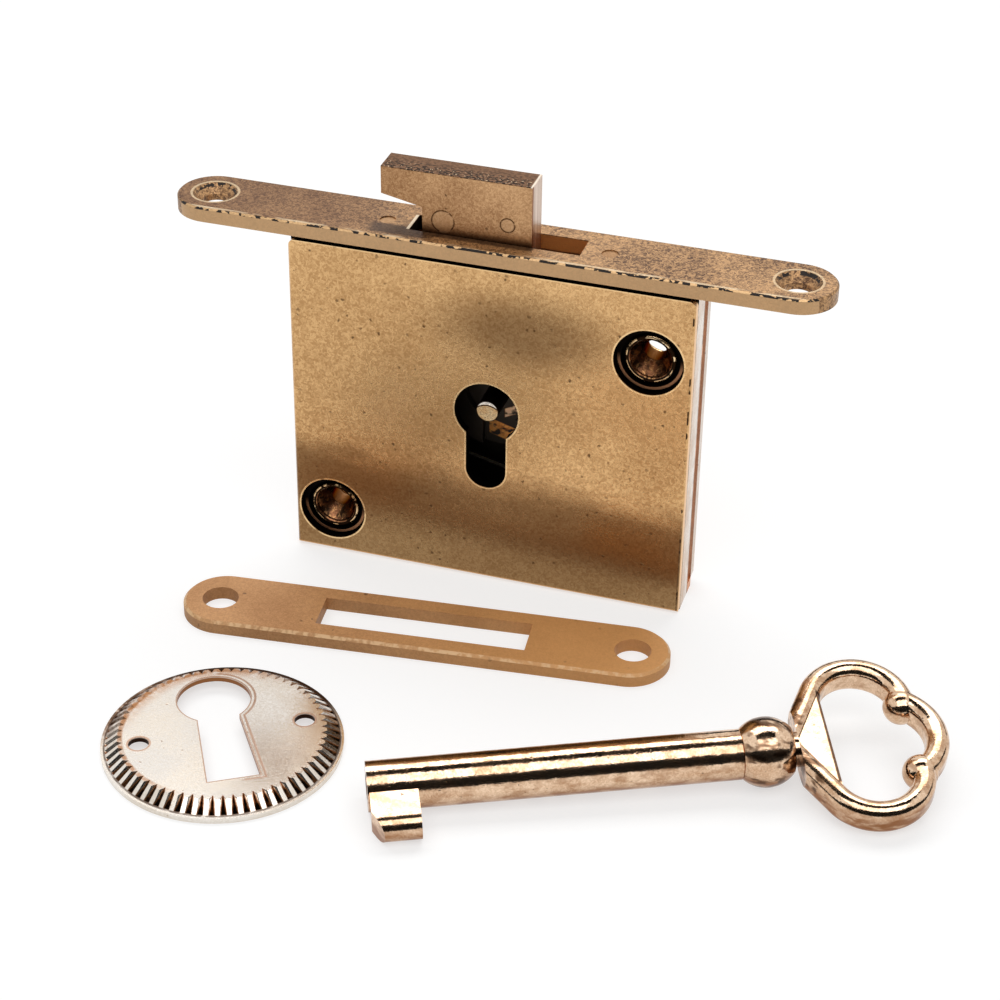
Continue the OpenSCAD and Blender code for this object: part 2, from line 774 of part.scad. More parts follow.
// A bowed leaf on the bolt plate that presses on the front cover and holds the bolt where it is left
module friction_spring() {
    bow_x = shank_left + spring_foot_l;
    color(steel)
        translate([0, plate_face_y, spring_z - spring_w / 2])
            difference() {
                union() {
                    block([shank_left, -spring_t, 0], [bow_x + 2 * spring_t, 0, spring_w]);
                    intersection() {
                        translate([bow_x + spring_bow_l / 2, spring_bow_r - spring_rise, 0])
                            difference() {
                                cylinder(r = spring_bow_r, h = spring_w);
                                translate([0, 0, -eps])
                                    cylinder(r = spring_bow_r - spring_t, h = spring_w + 2 * eps);
                            }
                        block(
                            [bow_x - spring_t, -spring_rise - eps, 0],
                            [bow_x + spring_bow_l + spring_t, 0, spring_w]
                        );
                    }
                }
                peg([spring_rivet_x, spring_w / 2], spring_rivet_d, -2 * spring_t, spring_t);
            }
}

module spring_rivet() {
    head_y = plate_face_y - spring_t;
    place = [spring_rivet_x, spring_z];
    color(steel) {
        peg(place, spring_rivet_d, head_y, -plate_face_y);
        peg(place, spring_rivet_head_d, head_y - spring_rivet_head_t, head_y);
    }
}

// The plate that the hook catches, for the underside of a lid
module strike_plate() {
    color(brass)
        translate([strike_x, -strike_front, 0])
            rotate([0, 0, strike_turn])
                difference() {
                    round_ended_plate(strike_l, strike_w, strike_t, strike_chamfer);
                    for (side = [-1, 1])
                        translate([side * strike_hole_spacing / 2, 0, -eps])
                            cylinder(d = strike_hole_d, h = strike_t + 2 * eps);
                    block(
                        [-strike_slot_l / 2, -strike_slot_w / 2, -eps],
                        [strike_slot_l / 2, strike_slot_w / 2, strike_t + eps]
                    );
                }
}

module esc_keyhole_outline() {
    translate([0, esc_hole_up])
        circle(d = esc_hole_d);
    polygon([
        [-esc_neck_w / 2, esc_hole_up], [-esc_foot_w / 2, -esc_foot_down],
        [esc_foot_w / 2, -esc_foot_down], [esc_neck_w / 2, esc_hole_up]
    ]);
}

// The round plate for the chest's front, hollow behind, with a ribbed slope
module escutcheon() {
    r = esc_d / 2;
    slope_r = r - esc_flange_w;
    top_r = slope_r - esc_slope_w;
    slope_h = esc_h - esc_sheet;
    slope_l = sqrt(slope_h * slope_h + esc_slope_w * esc_slope_w);
    color(brass_light)
        translate([esc_x, -esc_front, 0])
            rotate([0, 0, esc_turn])
                difference() {
                    rotate_extrude()
                        polygon([
                            [0, slope_h], [top_r - esc_sheet, slope_h], [slope_r - 2 * esc_sheet, 0],
                            [r, 0], [r, esc_sheet], [slope_r, esc_sheet], [top_r, esc_h], [0, esc_h]
                        ]);
                    for (i = [0 : esc_grooves - 1])
                        rotate([0, 0, (i + 0.5) * 360 / esc_grooves])
                            translate([slope_r, 0, esc_sheet])
                                rotate([0, -atan2(esc_slope_w, slope_h), 0])
                                    translate([-esc_groove_w / 2, 0, esc_groove_foot])
                                        rotate([0, 0, -45])
                                            cube([2 * esc_groove_w, 2 * esc_groove_w, 2 * slope_l]);
                    translate([0, 0, -eps])
                        linear_extrude(esc_h + 2 * eps)
                            esc_keyhole_outline();
                    for (side = [-1, 1])
                        translate([side * esc_pin_spacing / 2, 0, -eps])
                            cylinder(d = esc_pin_d, h = esc_h + 2 * eps);
                }
}

// Lays a piece of the key, drawn along +X with its bit towards -Y, where the key is
module lay_key() {
    translate([key_x, -key_front, barrel_d / 2 + eps])
        rotate([0, 0, key_turn])
            rotate([0, -key_pitch, 0])
                rotate([key_roll, 0, 0])
                    children();
}

// A round bar along the key's axis
module key_bar(d, x0, x1) {
    translate([x0, 0, 0])
        rotate([0, 90, 0])
            cylinder(d = d, h = x1 - x0);
}

// The barrel, bored to slide on the drill pin
module key_barrel() {
    color(key_gold)
        lay_key()
            difference() {
                key_bar(barrel_d, 0, barrel_l);
                key_bar(key_bore_d, -eps, key_bore_depth);
            }
}

// The bit, brazed on the barrel, with a rounded end and its front corner cut
module key_bit() {
    color(key_gold)
        lay_key()
            difference() {
                union() {
                    block([bit_inset, -bit_end_mid, -bit_t / 2], [bit_inset + bit_l, 0, bit_t / 2]);
                    translate([0, -bit_end_mid, 0])
                        key_bar(bit_t, bit_inset, bit_inset + bit_l);
                }
                key_bar(barrel_d, 0, barrel_l);
                translate([bit_inset, -bit_reach, -bit_t])
                    linear_extrude(2 * bit_t)
                        polygon([[-eps, -eps], [bit_cut_l, -eps], [-eps, bit_cut_h]]);
            }
}

// The ball collar and the neck that the bow is joined to
module key_collar() {
    color(key_gold)
        lay_key() {
            intersection() {
                translate([collar_mid, 0, 0])
                    rotate([0, 90, 0])
                        sphere(d = collar_d);
                block([barrel_l, -collar_d, -collar_d], [collar_end, collar_d, collar_d]);
            }
            key_bar(neck_d, collar_mid, bow_start);
        }
}

// Section of the bow's rod: upright, with round top and bottom
module rod_section() {
    flat = bow_rod_h - bow_rod_w;
    square([bow_rod_w, flat], center = true);
    for (side = [-1, 1])
        translate([0, side * flat / 2])
            circle(d = bow_rod_w);
}

// An arc of the bow's rod round a centre
module rod_arc(x, y, r, from, sweep) {
    translate([x, y, 0])
        rotate([0, 0, from])
            rotate_extrude(angle = sweep)
                translate([r, 0])
                    rod_section();
}

// The open bow: two flaring rods with a web between them, two side lobes, an end lobe and two beads
module key_bow() {
    color(key_gold)
        lay_key()
            difference() {
                union() {
                    for (side = [0, 1])
                        mirror([0, side, 0]) {
                            translate([collar_end, flare_off, 0])
                                rotate([0, 0, flare_deg])
                                    rotate([90, 0, 90])
                                        linear_extrude(flare_l)
                                            rod_section();
                            rod_arc(lobe_x, lobe_off, lobe_r, 0, lobe_sweep);
                            translate([lobe_end_x - bead_in, lobe_off - bead_in, 0])
                                rotate([0, 90, bead_deg])
                                    sphere(r = bead_r);
                        }
                    translate([0, 0, -web_t / 2])
                        linear_extrude(web_t)
                            polygon([
                                [collar_end, flare_off], [web_x, web_y],
                                [web_x, -web_y], [collar_end, -flare_off]
                            ]);
                    rod_arc(lobe_end_x + end_bulge - end_r, 0, end_r, -end_half_deg, 2 * end_half_deg);
                }
                block([barrel_l, -lobe_off, -bow_rod_h], [bow_start, lobe_off, bow_rod_h]);
            }
}

case_frame();
rear_case();
front_cover();
selvedge_plate();
selvedge_rivets();
hollow_rivet_upper();
hollow_rivet_lower();
drill_pin();
guide_post();
driver_cam();
crank_pin();
hook_bolt();
bolt_plate();
bolt_rivet_large();
bolt_rivet_small();
friction_spring();
spring_rivet();
strike_plate();
escutcheon();
key_barrel();
key_bit();
key_collar();
key_bow();
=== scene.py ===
import bpy
import numpy as np
from mathutils import Matrix

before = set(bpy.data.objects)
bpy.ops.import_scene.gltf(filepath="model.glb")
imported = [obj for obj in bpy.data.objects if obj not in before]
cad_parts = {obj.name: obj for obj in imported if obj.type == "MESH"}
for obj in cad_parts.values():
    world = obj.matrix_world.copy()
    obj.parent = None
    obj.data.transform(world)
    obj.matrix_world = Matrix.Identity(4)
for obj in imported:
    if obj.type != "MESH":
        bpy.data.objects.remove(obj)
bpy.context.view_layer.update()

# The frame of the case: four cast brass walls between the front cover and the rear case.
# Its sides are ground bright after riveting, and the groove along them is painted brown as shade.


def put(tree, kind, settings=None, sockets=None):
    """Adds a node, sets its settings, and gives each named or numbered socket a value or another node's output."""
    made = tree.nodes.new(kind)
    for name, value in (settings or {}).items():
        setattr(made, name, value)
    for name, value in (sockets or {}).items():
        if isinstance(value, bpy.types.NodeSocket):
            tree.links.new(value, made.inputs[name])
        else:
            made.inputs[name].default_value = value
    return made


def calc(tree, operation, *terms):
    """The output of a Math node on these terms, each a number or another node's output."""
    return put(tree, "ShaderNodeMath", {"operation": operation}, dict(enumerate(terms))).outputs[0]


def times(tree, first, *others):
    """The product of several terms."""
    for other in others:
        first = calc(tree, "MULTIPLY", first, other)
    return first


def inverse(tree, share):
    """What a share leaves of 1."""
    return calc(tree, "SUBTRACT", 1.0, share)


def ramp(tree, value, start, end, low=0.0, high=1.0):
    """A value that runs smoothly from low at start to high at end and stays there."""
    sockets = {"Value": value, "From Min": start, "From Max": end, "To Min": low, "To Max": high}
    return put(tree, "ShaderNodeMapRange", {"interpolation_type": "SMOOTHSTEP"}, sockets).outputs["Result"]


def between(tree, share, low, high):
    """A share from 0 to 1, eased to run from low to high."""
    return ramp(tree, share, 0.0, 1.0, low, high)


def band(tree, value, start, end, soft):
    """1 between start and end and 0 outside, with borders of this softness."""
    return times(tree, ramp(tree, value, start - soft, start), ramp(tree, value, end + soft, end))


def speckle(tree, place, size, low, high):
    """A noise from 0 to 1 with features of this size in millimetres along each axis, cut softly between two levels."""
    scaled = put(tree, "ShaderNodeVectorMath", {"operation": "DIVIDE"}, {0: place, 1: size}).outputs[0]
    noise = put(tree, "ShaderNodeTexNoise", None, {"Vector": scaled, "Scale": 1.0, "Detail": 2.0}).outputs["Fac"]
    return ramp(tree, noise, low, high)


def blend(tree, share, first, second):
    """The colour between two colours, at a share from 0 to 1."""
    sockets = {0: share, 6: first, 7: second}
    return put(tree, "ShaderNodeMix", {"data_type": "RGBA"}, sockets).outputs[2]


def linear(red, green, blue):
    """A colour written in screen values from 0 to 255, as the linear colour that a shader takes."""
    value = np.array([red, green, blue]) / 255
    low, high = value / 12.92, ((value + 0.055) / 1.055) ** 2.4
    return (*np.where(value <= 0.04045, low, high).tolist(), 1.0)


def make_brass_group():
    """Group of the brass finish: broad clouds, fine grain, small pits and slow waves, on a place in millimetres."""
    tree = bpy.data.node_groups.new("brass_finish", "ShaderNodeTree")
    colours = ["Bright", "Dull", "Pit"]
    values = ["Cloud Size", "Cloud", "Grain Size", "Grain", "Pit Size", "Pits", "Smooth", "Rough", "Wave Size", "Wave"]
    tree.interface.new_socket("Place", in_out="INPUT", socket_type="NodeSocketVector")
    for name in colours:
        tree.interface.new_socket(name, in_out="INPUT", socket_type="NodeSocketColor")
    for name in values:
        tree.interface.new_socket(name, in_out="INPUT", socket_type="NodeSocketFloat")
    tree.interface.new_socket("Color", in_out="OUTPUT", socket_type="NodeSocketColor")
    for name in ["Roughness", "Height"]:
        tree.interface.new_socket(name, in_out="OUTPUT", socket_type="NodeSocketFloat")
    given = tree.nodes.new("NodeGroupInput").outputs
    place = given["Place"]

    def noise(size, detail, distortion=0.0):
        """A noise with features of this size."""
        scale = calc(tree, "DIVIDE", 1.0, size)
        sockets = {"Vector": place, "Scale": scale, "Detail": detail, "Distortion": distortion}
        return put(tree, "ShaderNodeTexNoise", None, sockets).outputs

    cloud = ramp(tree, noise(given["Cloud Size"], 3.0)["Fac"], 0.34, 0.66)
    grain = ramp(tree, noise(given["Grain Size"], 1.5, 1.2)["Fac"], 0.3, 0.7)

    # Pits: cells of uneven shape, of which a share is chosen, each with its own reach and depth.
    ragged = noise(calc(tree, "MULTIPLY", given["Pit Size"], 0.4), 1.0)["Color"]
    drift = {0: ragged, 1: (0.5, 0.5, 0.5), 2: place}
    drifted = put(tree, "ShaderNodeVectorMath", {"operation": "MULTIPLY_ADD"}, drift).outputs[0]
    cell_scale = calc(tree, "DIVIDE", 1.0, given["Pit Size"])
    cells = put(tree, "ShaderNodeTexVoronoi", None, {"Vector": drifted, "Scale": cell_scale}).outputs
    chance = put(tree, "ShaderNodeSeparateColor", None, {0: cells["Color"]}).outputs
    chosen = calc(tree, "LESS_THAN", chance[0], given["Pits"])
    reach = between(tree, chance[1], 0.1, 0.28)
    inside = ramp(tree, calc(tree, "DIVIDE", cells["Distance"], reach), 1.0, 0.4)
    pit = times(tree, chosen, inside, between(tree, chance[2], 0.45, 1.0))

    grained = times(tree, grain, given["Grain"])
    dulled = calc(tree, "MINIMUM", calc(tree, "ADD", times(tree, cloud, given["Cloud"]), grained), 1.0)
    metal = blend(tree, dulled, given["Bright"], given["Dull"])
    uneven = calc(tree, "ADD", times(tree, cloud, 0.5), times(tree, grain, 0.5))
    wave = times(tree, noise(given["Wave Size"], 1.0)["Fac"], given["Wave"])
    put(tree, "NodeGroupOutput", None, {
        "Color": blend(tree, times(tree, pit, 0.8), metal, given["Pit"]),
        "Roughness": between(tree, uneven, given["Smooth"], given["Rough"]),
        "Height": calc(tree, "SUBTRACT", calc(tree, "ADD", grained, wave), pit),
    })
    return tree


brass_group = make_brass_group()


def brass(name, bright, dull, pit, cloud=(9.0, 0.4), grain=(0.35, 0.35), pits=(1.2, 0.1), roughness=(0.24, 0.36),
          wave=(2.0, 0.0), relief=0.02, metal=1.0, edge=(255, 255, 255), layers=None):
    """A metal material on the finish group. Each pair but roughness is a size in millimetres and a share,
    and relief is in millimetres. Edge is the colour that the metal takes where it is seen at a low angle.
    Layers, when given, is a function of the tree, the place and its coordinates in millimetres that lists
    (share, colour, roughness)."""
    material = bpy.data.materials.new(name)
    material.use_nodes = True
    tree = material.node_tree
    tree.nodes.clear()
    metres = put(tree, "ShaderNodeTexCoord").outputs["Object"]
    place = put(tree, "ShaderNodeVectorMath", {"operation": "SCALE"}, {0: metres, "Scale": 1000.0}).outputs[0]
    finish = put(tree, "ShaderNodeGroup", {"node_tree": brass_group}, {
        "Place": place, "Bright": linear(*bright), "Dull": linear(*dull), "Pit": linear(*pit),
        "Cloud Size": cloud[0], "Cloud": cloud[1], "Grain Size": grain[0], "Grain": grain[1],
        "Pit Size": pits[0], "Pits": pits[1], "Smooth": roughness[0], "Rough": roughness[1],
        "Wave Size": wave[0], "Wave": wave[1],
    }).outputs
    colour, rough = finish["Color"], finish["Roughness"]
    if layers:
        x, y, z = put(tree, "ShaderNodeSeparateXYZ", None, {0: place}).outputs
        for share, layer_colour, layer_rough in layers(tree, place, x, y, z):
            colour = blend(tree, share, colour, linear(*layer_colour))
            rough = put(tree, "ShaderNodeMix", None, {0: share, 2: rough, 3: layer_rough}).outputs[0]
    height = {"Height": finish["Height"], "Distance": relief / 1000, "Strength": 1.0}
    shader = put(tree, "ShaderNodeBsdfPrincipled", None, {
        "Base Color": colour, "Roughness": rough, "Metallic": metal, "Specular Tint": linear(*edge),
        "Normal": put(tree, "ShaderNodeBump", None, height).outputs[0],
    })
    put(tree, "ShaderNodeOutputMaterial", None, {0: shader.outputs[0]})
    return material


def dress(material, *nodes):
    """Gives these pieces of the frame one material."""
    for name in nodes:
        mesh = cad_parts[name].data
        mesh.materials.clear()
        mesh.materials.append(material)


# How rough a layer is, from 0 for a mirror to 1.
SATIN, DULL, MATT = 0.4, 0.5, 0.6
FRAME_FRONT, FRAME_BACK = -3.3, 2.75
GROOVE_FRONT, GROOVE_SOFT = 0.6, 0.12
FRAME_TAN, FRAME_PALE = (214, 176, 142), (244, 240, 234)
GROOVE_SHADE_COPPER, GROOVE_SHADE_UMBER, GROOVE_LINE = (224, 148, 84), (134, 82, 46), (88, 54, 30)
GAP_SHADE_BLACK, GAP_GRIME = (20, 14, 10), (22, 16, 12)


def frame_layers(tree, place, x, y, z):
    """Painted brown shade in the groove along the sides, its dark border, and painted black shade on the front that
    shows in the gap over the cover.
    """
    broken = speckle(tree, place, (1.0, 1.0, 1.6), 0.3, 0.6)
    streaks = speckle(tree, place, (2.0, 0.9, 2.2), 0.35, 0.65)
    near_front = ramp(tree, y, FRAME_FRONT + 2.4, FRAME_FRONT + 0.4)
    further_back = ramp(tree, y, FRAME_FRONT + 1.4, FRAME_FRONT + 3.0)
    groove = band(tree, y, GROOVE_FRONT, FRAME_BACK, GROOVE_SOFT)
    border = band(tree, y, GROOVE_FRONT - 0.1, GROOVE_FRONT + 0.1, GROOVE_SOFT)
    front = ramp(tree, y, FRAME_FRONT + 0.1, FRAME_FRONT + 0.03)
    front_edge = ramp(tree, y, FRAME_FRONT + 0.3, FRAME_FRONT + 0.1)
    return [
        (times(tree, near_front, streaks, 0.6), FRAME_TAN, SATIN),
        (times(tree, further_back, inverse(tree, streaks), 0.6), FRAME_PALE, SATIN),
        # Painted shade: the groove along the sides is painted brown and streaked darker.
        (times(tree, groove, 0.9), GROOVE_SHADE_COPPER, SATIN),
        (times(tree, groove, streaks, 0.4), GROOVE_SHADE_UMBER, SATIN),
        (times(tree, border, broken), GROOVE_LINE, DULL),
        # Painted shade: the frame's front, seen in the gap over the cover, is painted black.
        (front, GAP_SHADE_BLACK, MATT),
        (times(tree, front_edge, broken), GAP_GRIME, MATT),
    ]


frame_brass = brass("frame_brass", bright=(226, 214, 202), dull=(192, 168, 146), pit=(120, 84, 52),
                    pits=(1.6, 0.1), roughness=(0.25, 0.4), layers=frame_layers)
dress(frame_brass, "case_frame")

# The rear case: a shallow pressed brass tray behind the frame, held by the two hollow rivets.
# Its edge is ground with the frame's sides, and its back is dull and clouded.
SCUFFED = 0.45
REAR_FLOOR, REAR_BACK = 3.3, 4.6
INSIDE_SHADE_HALF = 22.0
LINE_SLOPE, LINE_LEVELS = 0.25, (13.5, 13.9)
REAR_EDGE, REAR_SKIN, REAR_CLOUD = (196, 160, 134), (190, 146, 98), (132, 94, 58)
REAR_INSIDE_SHADE, REAR_LINE = (54, 48, 42), (255, 240, 214)


def rear_layers(tree, place, x, y, z):
    """A clouded back, and painted shade on the inside, with one pale line across it behind the keyhole's slot."""
    edge = ramp(tree, y, REAR_BACK - 0.6, REAR_BACK - 0.2, 0.0, 0.8)
    back = ramp(tree, y, REAR_BACK - 0.08, REAR_BACK - 0.02)
    clouds = speckle(tree, place, (7.0, 1.0, 5.0), 0.3, 0.7)
    inside = ramp(tree, y, REAR_FLOOR + 0.15, REAR_FLOOR + 0.05)
    middle = ramp(tree, calc(tree, "ABSOLUTE", x), INSIDE_SHADE_HALF, INSIDE_SHADE_HALF - 0.5)
    shaded_inside = times(tree, inside, middle)
    line = band(tree, calc(tree, "MULTIPLY_ADD", x, LINE_SLOPE, z), *LINE_LEVELS, 0.15)
    return [
        (edge, REAR_EDGE, SATIN),
        (times(tree, back, 0.9), REAR_SKIN, SATIN),
        (times(tree, back, clouds, 0.4), REAR_CLOUD, SCUFFED),
        # Painted shade on the inside floor, where little light reaches.
        (shaded_inside, REAR_INSIDE_SHADE, DULL),
        (times(tree, shaded_inside, line), REAR_LINE, SATIN),
    ]


rear_brass = brass("rear_brass", bright=(222, 212, 202), dull=(188, 164, 140), pit=(96, 66, 40),
                   roughness=(0.28, 0.42), layers=rear_layers)
dress(rear_brass, "rear_case")

# The drill pin that the key slides on: turned brass bar, pressed into the rear case.
# Its end carries a painted highlight over a line of painted shade, and its shank is painted dark.
POLISHED = 0.2
PIN_Z, PIN_R, PIN_END = 26.6, 1.55, -4.1
HIGHLIGHT_EDGE_BOW, HIGHLIGHT_EDGE_UP = -0.25, 1.0
PIN_HIGHLIGHT, PIN_EDGE_SHADE, PIN_RIM, PIN_SHANK = (255, 250, 240), (60, 38, 22), (30, 20, 13), (26, 18, 12)


def offsets(tree, values, middle):
    """How far two coordinates lie from a middle."""
    return [calc(tree, "SUBTRACT", value, centre) for value, centre in zip(values, middle)]


def away(tree, first, second, centre):
    """The distance from an axis, from two coordinates and the axis' place in them."""
    offs = offsets(tree, (first, second), centre)
    return calc(tree, "SQRT", calc(tree, "ADD", times(tree, offs[0], offs[0]), times(tree, offs[1], offs[1])))


def drill_layers(tree, place, x, y, z):
    """The pin's end: a dark rim, a line of painted shade under its top and a painted highlight above it. The shank is
    dark.
    """
    from_axis = away(tree, x, z, (0.0, PIN_Z))
    in_front = ramp(tree, y, 0.2, 0.0)
    bow = calc(tree, "MULTIPLY_ADD", times(tree, x, x), HIGHLIGHT_EDGE_BOW, PIN_Z + HIGHLIGHT_EDGE_UP)
    from_highlight_edge = calc(tree, "SUBTRACT", z, bow)
    return [
        # Painted highlight on the top of the pin's end, above a line of painted shade.
        (times(tree, in_front, ramp(tree, from_highlight_edge, -0.05, 0.12)), PIN_HIGHLIGHT, POLISHED),
        (times(tree, in_front, band(tree, from_highlight_edge, -0.14, -0.02, 0.08)), PIN_EDGE_SHADE, SATIN),
        (times(tree, in_front, ramp(tree, from_axis, PIN_R - 0.2, PIN_R - 0.05)), PIN_RIM, DULL),
        (band(tree, y, PIN_END + 0.2, REAR_FLOOR + 0.2, 0.15), PIN_SHANK, DULL),
    ]


drill_brass = brass("drill_brass", bright=(246, 222, 178), dull=(190, 146, 92), pit=(80, 52, 30),
                    cloud=(1.4, 0.6), grain=(0.2, 0.4), pits=(0.6, 0.1), roughness=(0.14, 0.3), layers=drill_layers)
dress(drill_brass, "drill_pin")

# The steel pins: the fixed guide post and the crank pin.
# Both are turned from bright bar and pressed in, with a few small pits of rust.
pin_steel = brass("pin_steel", bright=(196, 190, 182), dull=(140, 132, 122), pit=(70, 62, 54),
                  grain=(0.2, 0.4), pits=(0.8, 0.05))
dress(pin_steel, "guide_post", "crank_pin")

# The works: the driver that the key turns and the plate that carries the bolt.
# Both are cut from brass sheet, painted dark as shade inside the closed case, with patches of painted light.
WORKS_LIT, WORKS_SHADE = (255, 226, 190), (62, 55, 48)


def lit_patch(tree, x, z, across, slope, levels, soft):
    """A patch between two places across and two levels of a height that slopes."""
    height = calc(tree, "MULTIPLY_ADD", x, slope, z)
    return times(tree, band(tree, x, *across, 0.2), band(tree, height, *levels, soft))


def works_layers(tree, place, x, y, z):
    """Painted shade nearly all over, broken by patches of painted light to the right of and below the pin."""
    upper = lit_patch(tree, x, z, across=(0.6, 4.3), slope=-0.5, levels=(21.9, 23.1), soft=0.15)
    lower = lit_patch(tree, x, z, across=(-1.6, 1.9), slope=0.3, levels=(18.9, 21.0), soft=0.2)
    broken = speckle(tree, place, (1.1, 1.1, 0.7), 0.36, 0.52)
    lit_share = times(tree, calc(tree, "MAXIMUM", upper, lower), broken)
    return [
        # Painted light: lit patches on the works; the rest is painted shade.
        (times(tree, upper, 0.6), WORKS_LIT, SATIN),
        (inverse(tree, lit_share), WORKS_SHADE, DULL),
    ]


works_brass = brass("works_brass", bright=(255, 178, 96), dull=(190, 110, 50), pit=(30, 20, 12),
                    cloud=(1.6, 0.7), grain=(0.4, 0.3), roughness=(0.3, 0.45), metal=0.8, layers=works_layers)
dress(works_brass, "driver_cam", "bolt_plate")

# The friction spring, a bowed strip of blued spring steel, and its small rivet.
# It is riveted to the bolt plate and rubs on the back of the cover.
spring_steel = brass("spring_steel", bright=(120, 116, 118), dull=(72, 70, 76), pit=(40, 38, 40),
                     grain=(0.3, 0.4), pits=(0.9, 0.08))
dress(spring_steel, "friction_spring", "spring_rivet")

# The hook bolt: a thick brass block, sawn on top and ground on its faces.
# Two rivets, set flush, hold it to the plate's tongue.
SMOOTH, GROUND = 0.3, 0.35
BOLT_TOP, BOLT_FOOT, BOLT_RIGHT, BOLT_FRONT = 59.2, 50.8, 5.1, -2.05
BOLT_FOOT_SHADE, BOLT_SAWN, BOLT_ARRIS = (70, 44, 26), (122, 88, 62), (244, 230, 210)
BOLT_DARK_FLECK, BOLT_LIGHT_FLECK = (36, 25, 18), (214, 186, 150)
BOLT_SIDE, BOLT_SCORE, BOLT_SIDE_EDGE = (220, 200, 184), (150, 112, 80), (140, 90, 54)


def bolt_layers(tree, place, x, y, z):
    """The sawn top, grey-brown with dark and bright flecks, the pale ground side, and painted shade at the foot."""
    top = ramp(tree, z, BOLT_TOP - 0.12, BOLT_TOP - 0.02)
    side = ramp(tree, x, BOLT_RIGHT - 0.12, BOLT_RIGHT - 0.02)
    dark = times(tree, speckle(tree, place, (0.5, 0.35, 1.0), 0.4, 0.6), ramp(tree, y, 1.9, -1.6, 0.35, 1.0))
    light = times(tree, speckle(tree, place, (0.3, 0.4, 1.0), 0.62, 0.7), ramp(tree, y, 0.8, -1.2))
    arris = ramp(tree, x, BOLT_RIGHT - 0.4, BOLT_RIGHT - 0.2)
    front = ramp(tree, y, BOLT_FRONT + 0.1, BOLT_FRONT + 0.02)
    foot = times(tree, ramp(tree, z, BOLT_FOOT + 1.3, BOLT_FOOT), front)
    scored = speckle(tree, place, (1.0, 0.25, 30.0), 0.4, 0.6)
    side_edge = ramp(tree, y, BOLT_FRONT + 0.45, BOLT_FRONT + 0.2)
    return [
        # Painted shade on the bolt's front face at its foot, by the plate.
        (times(tree, foot, 0.7), BOLT_FOOT_SHADE, SATIN),
        (top, BOLT_SAWN, SATIN),
        (times(tree, top, dark), BOLT_DARK_FLECK, DULL),
        (times(tree, top, light), BOLT_LIGHT_FLECK, SMOOTH),
        (times(tree, top, arris), BOLT_ARRIS, SMOOTH),
        (times(tree, side, 0.9), BOLT_SIDE, GROUND),
        (times(tree, side, scored, 0.6), BOLT_SCORE, GROUND),
        (times(tree, side, side_edge), BOLT_SIDE_EDGE, SATIN),
    ]


bolt_brass = brass("bolt_brass", bright=(206, 164, 120), dull=(150, 108, 72), pit=(70, 46, 30),
                   grain=(0.4, 0.5), pits=(0.9, 0.14), roughness=(0.3, 0.45), layers=bolt_layers)
dress(bolt_brass, "hook_bolt")
BOLT_RIVETS = [((-6.9, 52.6), 1.6), ((1.8, 53.4), 1.05)]
BOLT_SEAM = (80, 52, 32)


def bolt_rivet_layers(tree, place, x, y, z):
    """The dark seam round each rivet."""
    off = [calc(tree, "SUBTRACT", away(tree, x, z, centre), radius) for centre, radius in BOLT_RIVETS]
    seam = ramp(tree, calc(tree, "MINIMUM", *off), -0.3, -0.06)
    return [(times(tree, seam, speckle(tree, place, (0.8, 0.8, 0.8), 0.3, 0.5)), BOLT_SEAM, DULL)]


bolt_rivet_brass = brass("bolt_rivet_brass", bright=(208, 168, 126), dull=(160, 118, 80), pit=(74, 48, 30),
                         roughness=(0.3, 0.45), layers=bolt_rivet_layers)
dress(bolt_rivet_brass, "bolt_rivet_large", "bolt_rivet_small")

# The front cover: a flat brass plate with the keyhole, fine-ground and lightly pitted, with dark reflections painted
# on its face.
# The two hollow rivets hold it on the frame, in dished recesses whose edges are worn bright.
BURNISHED = 0.25
RIVET_PLACES = [(21.7, 38.2), (-22.2, 6.9)]
RECESS_R, SEAT_R = 4.7, 3.9
FACE_Y, RECESS_Y = -4.6, -3.6
KEYHOLE_Z, KEYHOLE_R = 26.6, 4.45
SLOT_HALF, SLOT_FOOT_Z = 2.8, 17.7
COVER_TOP, COVER_FOOT, COVER_HALF = 48.0, 0.3, 27.5
DARK_REFLECTION_SLOPE, DARK_REFLECTION_SWAY, DARK_REFLECTION_LEVELS = 0.03, 3.0, (20.0, 14.5)
KEY_REFLECTION_WIDTH, KEY_REFLECTION_MIDDLE = 0.45, (2.4, 39.5)
COVER_DARK_REFLECTION, COVER_KEY_REFLECTION, COVER_SEAM = (84, 58, 33), (78, 50, 26), (58, 38, 24)
COVER_BRIGHT, COVER_FOOT_EDGE, COVER_SIDE = (250, 214, 160), (226, 174, 118), (236, 192, 142)
COVER_GAP_SHADE, KEYHOLE_WALL, RECESS_WALL, RECESS_FLOOR = (12, 9, 7), (12, 10, 8), (14, 10, 8), (150, 108, 78)


def rivet_axis(tree, x, z):
    """The distance from the nearer of the two hollow rivets' axes."""
    return calc(tree, "MINIMUM", *[away(tree, x, z, centre) for centre in RIVET_PLACES])


def rivet_offset(tree, x, z):
    """The offsets to the right of and above the axis of the hollow rivet on this side of the lock."""
    (right_x, right_z), (left_x, left_z) = RIVET_PLACES
    axis = ramp(tree, x, -1.0, 1.0, left_x, right_x), ramp(tree, x, -1.0, 1.0, left_z, right_z)
    return offsets(tree, (x, z), axis)


